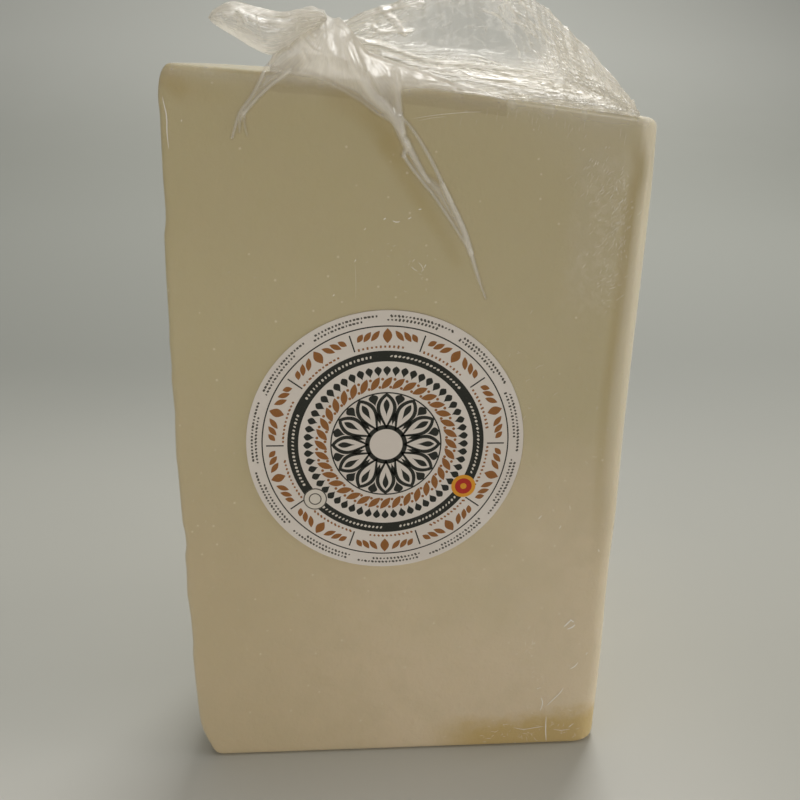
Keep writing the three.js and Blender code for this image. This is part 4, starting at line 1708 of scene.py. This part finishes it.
@dataclass
class Fan:
    """The tail of the bag: two crumpled sheets that rise from the top to a ragged ridge."""

    quarter: Quarter
    along: int = 420
    flank: float = 1.35
    stand_off: float = 0.4
    calm_centre: Pair = (0.60, 0.33)
    calm_size: Pair = (0.175, 0.32)
    ridge_length: float = 150.0
    sides: tuple[FanSide, ...] = (
        FanSide("film_fan_front", facing=-1, across=200, seed=21),
        FanSide("film_fan_back", facing=1, across=110, seed=51),
    )

    def smooth_sheet(self, side: FanSide, u: np.ndarray, s: np.ndarray) -> tuple[np.ndarray, ...]:
        """Where the smooth sheet lies.

        Args:
            side: which sheet.
            u: shares along the ridge.
            s: shares from the ridge down to the foot.

        Returns:
            x, depth, the ridge's depth, and how far the ridge rises over the cheese.
        """
        q = self.quarter
        x, ridge_depth, high = (column[:, None] for column in through(np.array(FAN_RIDGE, float), u[:, 0]).T)
        ragged = layers(stack(u * 34.0, 0.0), 43, 3) * smooth(0.0, 0.06, u)
        rise = np.maximum(high + ragged - q.top(x, ridge_depth) - self.stand_off, 0.0)
        reach = np.sqrt(q.radius**2 - (q.axis_x - x) ** 2)
        back = np.minimum(reach - 8.0, ridge_depth + 12.0 + 1.5 * rise)
        foot = np.full_like(back, 1.0) if side.facing < 0 else back
        return x, ridge_depth + s * (foot - ridge_depth), ridge_depth, rise

    def sheet(self, side: FanSide, place: Place) -> None:
        """Builds and dresses one sheet.

        Args:
            side: which sheet.
            place: where it lies.
        """
        in_front = side.facing < 0
        u = np.linspace(0.0, 1.0, self.along)[:, None]
        s = 1.0 - (1.0 - np.linspace(0.0, 1.0, side.across)) ** 1.25
        x, depth, ridge_depth, rise = self.smooth_sheet(side, u, s)
        u, s, x = (grid.copy() for grid in np.broadcast_arrays(u, s, x))
        slope = np.hypot(rise, 0.8 * ridge_depth)
        low = smooth(0.35, 0.78, s)
        across = (1.0 - low) * s * slope - low * (1.0 - s) * slope
        along = u * self.ridge_length
        drift = 3.5 * layers(stack(u * 6.0, s * 2.0), side.seed + 9, 3)
        folds = creases(stack(along / 46.0, (across + drift) / 4.4), side.seed, 4, 0.62)
        slanted = creases(stack((u + 0.35 * s) * 15.0, (s - 0.9 * u) * 7.0), side.seed + 3, 3, 0.6)
        broad = layers(stack(u * 6.0, s * 2.6), side.seed + 6, 2)
        mottle = smooth(-0.1, 0.5, layers(stack(u * 40.0, s * 14.0), 93, 2))
        free = smooth(0.0, 0.05, 1.0 - s) * smooth(0.0, 2.0, rise) * smooth(0.0, 0.04, s)
        (centre_u, centre_s), (size_u, size_s) = self.calm_centre, self.calm_size
        middle = np.exp(-(((u - centre_u) / size_u) ** 4 + ((s - centre_s) / size_s) ** 4))
        calm = 1.0 - 0.94 * middle
        by_gather = smooth(0.5, 0.3, u) * smooth(0.6, 0.3, s)
        crumple = 1.05 * folds + 0.7 * slanted + 1.6 * broad * (1.0 - s)
        push = free * calm * crumple * (1.0 - 0.6 * by_gather)
        z = self.quarter.top(x, depth) + self.stand_off + rise * (1.0 - s) ** self.flank
        z = z + push * (0.35 + 0.5 * s) - (0.5 * smooth(0.85, 1.0, s) if in_front else 0.0)
        depth = depth + side.facing * push * 0.9
        sharp = smooth(0.42, 0.85, folds) * (0.25 + 0.75 * smooth(0.2, 0.75, s))
        clear = (0.18 - (0.07 if in_front else 0.0) * mottle) * middle
        creased = calm * (0.7 * sharp + 0.35 * smooth(0.5, 0.85, slanted)) * free
        milk = 0.2 - clear + 0.08 * by_gather + creased
        off_foot = smooth(0.0, 0.035, 1.0 - s)
        air = 1.0
        if in_front:
            lifted, pale = pressed(FAN_FOLDS, x, z)
            depth = depth - lifted * free * 0.8
            milk = (milk + pale * free) * off_foot
            air = np.clip(1.0 - 0.6 * pale, 0.0, 1.0)
        faces = grid_faces(self.along, side.across, False)
        faces = faces if in_front else faces[:, ::-1]
        made = mesh_object(side.name, place.metres(stack(x, depth, z)), [faces])
        paint(made, milk=np.clip(milk, 0.0, 1.0), air=air, across=across, along=along)
        paint(made, fibre=calm * (0.5 + 0.5 * smooth(0.2, 0.8, s)) * off_foot)
        finish_piece(made, LOOSE_FILM.material(), "film", "film")

    def build(self, place: Place) -> None:
        """Builds and dresses both sheets."""
        for side in self.sides:
            self.sheet(side, place)


# ---- The label ----


class Ink(Enum):
    """The label's printing inks."""

    DARK = "dark"
    BRONZE = "bronze"
    GREY = "grey"
    PALE = "pale"
    OCHRE = "ochre"
    RED = "red"


INKS = {
    Ink.DARK: InkFinish("ink_dark", srgb(30, 33, 27), srgb(74, 76, 66)),
    Ink.BRONZE: InkFinish("ink_bronze", srgb(150, 98, 46), srgb(180, 136, 90)),
    Ink.GREY: InkFinish("ink_grey", srgb(80, 77, 70), srgb(132, 128, 120)),
    Ink.PALE: InkFinish("ink_pale", srgb(226, 221, 212), srgb(212, 207, 198)),
    Ink.OCHRE: InkFinish("ink_ochre", srgb(228, 160, 40), srgb(232, 178, 84)),
    Ink.RED: InkFinish("ink_red", srgb(184, 40, 26), srgb(196, 70, 54)),
}


def petal(length: float, width: float, sharp: float = 1.0, steps: int = 10, belly: float = 0.0) -> np.ndarray:
    """A leaf outline that points along +y from its middle at the origin.

    Args:
        length: from tip to tip.
        width: at its widest.
        sharp: above 1 for a more pointed leaf.
        steps: points on each side.
        belly: how far the widest place is moved towards the +y tip, as a share.

    Returns:
        x and y, anticlockwise.
    """
    t = np.linspace(0.0, 1.0, steps + 1)
    side = np.sin(np.pi * t ** (1.0 + belly)) ** sharp * width / 2
    along = (t - 0.5) * length
    right = np.column_stack([side, along])
    left = np.column_stack([-side, along])[::-1]
    return np.concatenate([right[:-1], left[:-1]])


def bar(length: float, width: float) -> np.ndarray:
    """A straight stroke's outline along x, with cut corners.

    Args:
        length: from end to end.
        width: from side to side.

    Returns:
        x and y, anticlockwise.
    """
    a, b = length / 2, width / 2
    c = min(a, b) * 0.4
    half = np.array([(-a + c, -b), (a - c, -b), (a, -b + c), (a, b - c)])
    return np.concatenate([half, -half])


def circle(radius: float, count: int) -> np.ndarray:
    """A circle's outline round the origin, anticlockwise."""
    turn = np.linspace(0.0, 2 * np.pi, count, endpoint=False)
    return radius * np.column_stack([np.cos(turn), np.sin(turn)])


def turned(outline: np.ndarray, degrees: float) -> np.ndarray:
    """An outline turned anticlockwise about the origin."""
    c, s = math.cos(math.radians(degrees)), math.sin(math.radians(degrees))
    return outline @ np.array([[c, s], [-s, c]])


@dataclass(frozen=True)
class Mark:
    """One printed shape and how it repeats round the label's centre.

    A mark with a hole is a frame between the two outlines. In each group, the first few are left out, as a
    gap. Angles are in turns from the top, anticlockwise.
    """

    ink: Ink
    outline: np.ndarray
    radius: float = 0.0
    count: int = 1
    start: float = 0.0
    hole: np.ndarray | None = None
    level: int = 1
    group: int = 1
    gap: int = 0
    vary: float = 0.0


class RingTree(Nodes):
    """A Geometry Nodes tree that repeats a flat shape round a circle, pointing outwards."""

    INPUTS = {
        "Geometry": "Geometry",
        "Count": "Int",
        "Radius": "Float",
        "Start": "Float",
        "Group": "Int",
        "Gap": "Int",
        "Vary": "Float",
        "Ink": "Material",
    }
    SEED = 7
    RANDOM_FLOAT = 1  # the Random Value node's output for numbers

    def __init__(self) -> None:
        """Builds the tree with its named inputs."""
        super().__init__(bpy.data.node_groups.new("ring_of_marks", "GeometryNodeTree"))
        face = self.tree.interface
        self.sockets = {
            name: face.new_socket(name, in_out="INPUT", socket_type=f"NodeSocket{kind}").identifier
            for name, kind in self.INPUTS.items()
        }
        face.new_socket("Geometry", in_out="OUTPUT", socket_type="NodeSocketGeometry")
        group = self.tree.nodes.new("NodeGroupInput")
        given = {name: Sock(self, group.outputs[name]) for name in self.INPUTS}
        index = self.node("GeometryNodeInputIndex", {}, {})
        angle = self.maths("MULTIPLY_ADD", index / given["Count"], 2 * math.pi, given["Start"])
        outward = self.node("ShaderNodeCombineXYZ", {}, {"Y": given["Radius"]})
        placed = self.node(
            "ShaderNodeVectorRotate", {"rotation_type": "Z_AXIS"}, {"Vector": outward, "Angle": angle}
        )
        points = self.node("GeometryNodePoints", {}, {"Count": given["Count"], "Position": placed})
        left_out = self.maths("LESS_THAN", self.maths("MODULO", index, given["Group"]), given["Gap"])
        cut = {"Geometry": points, "Selection": left_out}
        chance = self.node(
            "FunctionNodeRandomValue", {"data_type": "FLOAT"}, {"Seed": self.SEED}, self.RANDOM_FLOAT
        )
        length = 1.0 - chance * given["Vary"]
        copied = {
            "Points": self.node("GeometryNodeDeleteGeometry", {"domain": "POINT"}, cut),
            "Instance": given["Geometry"],
            "Rotation": self.node("ShaderNodeCombineXYZ", {}, {"Z": angle}),
            "Scale": self.node("ShaderNodeCombineXYZ", {}, {"X": length, "Y": 1.0, "Z": 1.0}),
        }
        copies = self.node("GeometryNodeInstanceOnPoints", {}, copied)
        real = self.node("GeometryNodeRealizeInstances", {}, {"Geometry": copies})
        inked = self.node("GeometryNodeSetMaterial", {}, {"Geometry": real, "Material": given["Ink"]})
        self.tree.links.new(inked.socket, self.tree.nodes.new("NodeGroupOutput").inputs[0])

    def ring(self, made: bpy.types.Object, mark: Mark, ink: bpy.types.Material) -> None:
        """Repeats an object's mesh.

        Args:
            made: the object with one mark, changed in place.
            mark: how it is repeated.
            ink: the material.
        """
        modifier = made.modifiers.new("ring", "NODES")
        modifier.node_group = self.tree
        values = {
            "Count": mark.count,
            "Radius": mark.radius,
            "Start": 2 * math.pi * mark.start,
            "Group": mark.group,
            "Gap": mark.gap,
            "Vary": mark.vary,
            "Ink": ink,
        }
        for name, value in values.items():
            modifier[self.sockets[name]] = value
        evaluated = made.evaluated_get(bpy.context.evaluated_depsgraph_get())
        mesh = bpy.data.meshes.new_from_object(evaluated)
        made.modifiers.remove(modifier)
        made.data = mesh


@dataclass
class Label:
    """The round paper label on the front, and its print. Places in the print are shares of the radius."""

    radius: float = 51.3
    centre_x: float = -7.8
    centre_z: float = 139.6
    thickness: float = 0.35
    ink_step: float = 0.03
    sprigs: int = 10
    petals: int = 12
    wreath: int = 36
    round_steps: int = 256
    seal_ring: float = 0.668
    colour_seal_at: float = -0.335
    plain_seal_at: float = 0.36

    @property
    def front(self) -> float:
        """The paper's front as a depth."""
        return -LABEL_GAP - self.thickness

    def line(self, outer: float, inner: float) -> Mark:
        """A dark printed ring between two shares of the label's radius."""
        steps = self.round_steps
        return Mark(Ink.DARK, circle(outer * self.radius, steps), hole=circle(inner * self.radius, steps))

    def rim_marks(self) -> list[Mark]:
        """The fine grey rows along the edge, in short groups.

        Returns:
            The marks.
        """
        r = self.radius
        return [
            Mark(Ink.GREY, bar(1.15, 0.75), 0.960 * r, 231, group=21, gap=3, vary=0.6),
            Mark(Ink.GREY, bar(1.15, 0.7), 0.932 * r, 220, 0.004, group=20, gap=6, vary=0.6),
            self.line(0.892, 0.883),
        ]

    def sprig_marks(self) -> list[Mark]:
        """The bronze sprigs between the thin line and the dark band, with a short tick between each two.

        Returns:
            The marks.
        """
        r, n = self.radius, self.sprigs
        marks = [Mark(Ink.DARK, bar(0.5, 6.4), 0.797 * r, n, 0.5 / n)]
        marks.append(Mark(Ink.BRONZE, petal(5.6, 3.3, 1.0), 0.818 * r, n))
        for side in (-1, 1):
            for step, size in ((0.0165, 5.0), (0.0275, 4.6), (0.0375, 3.6)):
                leaf = turned(petal(size, 2.0, 0.9, 8), -side * 44)
                marks.append(Mark(Ink.BRONZE, leaf, 0.820 * r, n, side * step))
        marks.append(Mark(Ink.BRONZE, bar(1.25, 0.7), 0.739 * r, 15 * n, 0.5 / n, group=15, gap=4, vary=0.5))
        return marks

    def band_marks(self) -> list[Mark]:
        """The dark band with its pale dashes, and the ring of small leaves inside it.

        Returns:
            The marks.
        """
        r = self.radius
        return [
            self.line(0.709, 0.631),
            Mark(Ink.PALE, bar(0.95, 1.0), 0.670 * r, 144, group=24, gap=4, vary=0.55, level=2),
            Mark(Ink.DARK, petal(3.9, 2.7, 1.0, 8, 0.5), 0.558 * r, 56),
        ]

    def wreath_marks(self) -> list[Mark]:
        """The bronze wreath round the rosette.

        Returns:
            The marks.
        """
        r, n = self.radius, self.wreath
        berry = circle(0.55, 10)
        return [
            Mark(Ink.BRONZE, turned(petal(6.0, 2.5, 0.85, 10), -40), 0.470 * r, n),
            Mark(Ink.BRONZE, berry, 0.440 * r, n, 0.65 / n),
            Mark(Ink.BRONZE, berry, 0.500 * r, n, 0.35 / n),
        ]

    def rosette_marks(self) -> list[Mark]:
        """The dark rosette: framed petals, solid drops in and between them, and the ring at its heart.

        Returns:
            The marks.
        """
        r, n = self.radius, self.petals
        frame_edge, opening = petal(14.2, 7.4, 0.8, 16, 0.35), petal(11.4, 4.7, 0.8, 16, 0.35)
        return [
            Mark(Ink.DARK, frame_edge, 0.258 * r, n, hole=opening),
            Mark(Ink.DARK, petal(6.6, 2.2, 1.0, 10, 0.6), 0.285 * r, n),
            Mark(Ink.DARK, petal(4.6, 3.6, 0.9, 8, 0.8), 0.350 * r, n, 0.5 / n),
            Mark(Ink.DARK, petal(5.4, 1.7, 1.0, 8, 0.5), 0.205 * r, n, 0.5 / n),
            self.line(0.402, 0.392),
            self.line(0.152, 0.119),
        ]

    def seal_marks(self) -> list[Mark]:
        """A plain two-colour dot and a plain outlined dot, lying on the dark band.

        Returns:
            The marks.
        """
        ring = self.seal_ring * self.radius
        shapes = (
            (Ink.OCHRE, self.colour_seal_at, circle(4.6, 40), None, 3),
            (Ink.RED, self.colour_seal_at, circle(3.2, 32), None, 4),
            (Ink.OCHRE, self.colour_seal_at, circle(1.2, 20), None, 5),
            (Ink.PALE, self.plain_seal_at, circle(4.4, 40), None, 3),
            (Ink.GREY, self.plain_seal_at, circle(4.4, 40), circle(4.0, 40), 4),
            (Ink.GREY, self.plain_seal_at, circle(2.4, 28), circle(2.0, 28), 4),
        )
        return [Mark(ink, outline, ring, 1, at, hole, level) for ink, at, outline, hole, level in shapes]

    def paper(self, place: Place) -> bpy.types.Object:
        """The paper disc.

        Args:
            place: where it lies.

        Returns:
            The object.
        """
        count = self.round_steps
        round_trip = circle(self.radius, count)
        edge = stack(round_trip[:, 0], 0.0, round_trip[:, 1])
        middle = np.array([self.centre_x, 0.0, self.centre_z])
        steps = [(share, -LABEL_GAP) for share in (0.002, 0.5, 1.0)]
        steps += [(share, self.front) for share in (1.0, 0.998, 0.75, 0.5, 0.25, 0.002)]
        rows = np.concatenate([middle + edge * share + [0.0, depth, 0.0] for share, depth in steps])
        first = np.arange(count)[None, :]
        last = np.arange(len(rows) - count, len(rows))[None, ::-1]
        faces = [grid_faces(len(steps), count, True)[:, ::-1], first, last]
        return mesh_object("label_paper", place.metres(rows), faces, False)

    def one(self, mark: Mark) -> bpy.types.Object:
        """One mark as a thin prism in the xy plane, its printed side up.

        Args:
            mark: the mark.

        Returns:
            The object, still in millimetres.
        """
        count = len(mark.outline)
        x, y = mark.outline.T
        top = self.ink_step * mark.level
        rows = [stack(x, y, 0.0), stack(x, y, top)]
        across = np.arange(count)
        if mark.hole is None:
            faces = [grid_faces(2, count, True), across[None, :] + count, across[None, ::-1]]
        else:
            x, y = mark.hole.T
            rows += [stack(x, y, top), stack(x, y, 0.0)]
            following = (across + 1) % count
            closing = np.column_stack([3 * count + across, 3 * count + following, following, across])
            faces = [grid_faces(4, count, True), closing]
        return mesh_object("mark", np.concatenate(rows), faces, False)

    def lay(self, mesh: bpy.types.Mesh, place: Place) -> None:
        """Turns print in the xy plane onto the label's front.

        Args:
            mesh: the mesh, changed in place.
            place: where the label lies.
        """
        flat = np.empty(len(mesh.vertices) * 3, np.float32)
        mesh.vertices.foreach_get("co", flat)
        x, y, height = flat.reshape(-1, 3).astype(float).T
        points = stack(x + self.centre_x, self.front - height, y + self.centre_z)
        mesh.vertices.foreach_set("co", place.metres(points).astype(np.float32).ravel())
        mesh.update()

    def build(self, place: Place) -> None:
        """Builds and dresses the paper, and one piece of print for each ink.

        Args:
            place: where it lies.
        """
        finish_piece(self.paper(place), PaperFinish().material(), "label", "label")
        tree = RingTree()
        marks = self.rim_marks() + self.sprig_marks() + self.band_marks()
        marks += self.wreath_marks() + self.rosette_marks() + self.seal_marks()
        for ink, finish in INKS.items():
            material = finish.material()
            parts = []
            for mark in marks:
                if mark.ink is ink:
                    parts.append(self.one(mark))
                    tree.ring(parts[-1], mark, material)
            joined = parts[0]
            with bpy.context.temp_override(active_object=joined, selected_editable_objects=parts):
                bpy.ops.object.join()
            joined.name = f"label_print_{ink.value}"
            self.lay(joined.data, place)
            finish_piece(joined, material, "label", "label")


# ---- Floor, lights and camera ----

Point = tuple[float, float, float]
DAYLIGHT, WHITE, WARM, GOLDEN = (1.0, 0.985, 0.955), (1.0, 0.99, 0.97), (1.0, 0.95, 0.89), (1.0, 0.89, 0.76)


@dataclass(frozen=True)
class Lamp:
    """A rectangular soft light: where it stands and what it faces in metres, its size, power and colour."""

    name: str
    at: Point
    aim: Point
    size: Pair
    watts: float
    tint: Point = DAYLIGHT
    mirrored: bool = True
    lights_up: bool = True

    def hang(self) -> None:
        """Puts the light in the scene."""
        light = bpy.data.lights.new(self.name, "AREA")
        light.shape = "RECTANGLE"
        light.size, light.size_y = self.size
        light.energy = self.watts
        light.color = self.tint
        made = bpy.data.objects.new(self.name, light)
        made.location = self.at
        made.rotation_euler = (Vector(self.aim) - Vector(self.at)).to_track_quat("-Z", "Y").to_euler()
        made.visible_glossy = self.mirrored
        made.visible_diffuse = self.lights_up
        bpy.context.scene.collection.objects.link(made)


@dataclass
class Studio:
    """A pale floor that sweeps up behind, soft light and the camera."""

    pixels_focal: float = 1000.0
    pixels_across: float = 800.0
    sensor_width: float = 36.0
    camera_at: Point = (-30.73, -340.7, 284.6)
    yaw: float = math.radians(4.67)
    pitch: float = math.radians(20.49)
    roll: float = math.radians(1.09)
    half_width: float = 4.0
    floor_front: float = -3.0
    floor_back: float = 1.2
    floor_bend: float = 1.5
    floor_top: float = 2.8
    surround: Colour = (1.0, 0.965, 0.91, 1.0)
    surround_strength: float = 0.229
    lamps: tuple[Lamp, ...] = (
        Lamp("window", (0.55, 1.43, 1.8), (0.0, 0.0, 0.25), (0.95, 1.0), 27.0),
        Lamp("top", (-0.1, 0.0, 1.5), (0.0, 0.0, 0.0), (0.9, 0.9), 3.8),
        Lamp("side", (1.6, -0.1, 0.3), (0.0, 0.0, 0.15), (0.9, 0.4), 10.5, WARM, mirrored=False),
        Lamp("front", (-0.25, -0.95, 0.16), (0.0, 0.0, 0.02), (1.4, 0.24), 2.35, GOLDEN, mirrored=False),
        Lamp("glint", (0.42, -0.6, 1.0), (0.0, 0.0, 0.2), (0.3, 0.3), 3.0, WHITE, lights_up=False),
        Lamp("wall", (0.1, 1.0, 1.5), (0.1, 2.7, 0.35), (1.8, 0.5), 14.0),
    )

    def floor(self) -> None:
        """Builds the floor with its sweep."""
        back, bend = self.floor_back, self.floor_bend
        turn = np.linspace(0.0, math.pi / 2, 24)
        sweep = [(back + bend * math.sin(t), bend * (1 - math.cos(t))) for t in turn]
        profile = [(self.floor_front, 0.0), *sweep, (back + bend, self.floor_top)]
        points = np.array([(x, y, z) for y, z in profile for x in (-self.half_width, self.half_width)])
        made = mesh_object("floor", points, [grid_faces(len(profile), 2, False)])
        made.data.materials.append(FloorFinish().material())

    def lights(self) -> None:
        """Lights the scene: a window behind on the right, soft lamps in front and an even surround."""
        world = bpy.data.worlds.new("surround")
        world.use_nodes = True
        background = world.node_tree.nodes["Background"].inputs
        background["Color"].default_value = self.surround
        background["Strength"].default_value = self.surround_strength
        bpy.context.scene.world = world
        for lamp in self.lamps:
            lamp.hang()

    def camera(self, place: Place) -> None:
        """Sets up the camera at the photograph's viewing angle.

        Args:
            place: where the piece lies.
        """
        data = bpy.data.cameras.new("camera")
        data.sensor_width = self.sensor_width
        data.lens = self.pixels_focal / self.pixels_across * data.sensor_width
        level = math.cos(self.pitch)
        look = Vector((math.sin(self.yaw) * level, math.cos(self.yaw) * level, -math.sin(self.pitch)))
        right = Vector((math.cos(self.yaw), -math.sin(self.yaw), 0.0))
        up = right.cross(look)
        rolled_right = math.cos(self.roll) * right + math.sin(self.roll) * up
        rolled_up = math.cos(self.roll) * up - math.sin(self.roll) * right
        turn = Matrix((rolled_right, rolled_up, -look)).transposed()
        made = bpy.data.objects.new("camera", data)
        at = Vector(place.metres(np.array(self.camera_at)))
        made.matrix_world = Matrix.Translation(at) @ turn.to_4x4()
        bpy.context.scene.collection.objects.link(made)
        bpy.context.scene.camera = made


def main() -> None:
    """Builds every piece in order."""
    logging.basicConfig(level=logging.INFO, format="%(name)s: %(message)s")
    label = Label()
    place = Place.from_frame(label.centre_x)
    quarter = Quarter()
    studio = Studio()
    studio.camera(place)
    studio.floor()
    studio.lights()
    for kind in (Cheese, TightFilm, Wrinkles, Fan, Curtain):
        kind(quarter).build(place)
    Ear().build(place)
    label.build(place)
    bpy.context.scene.view_settings.view_transform = "Standard"


if __name__ == "__main__":
    main()
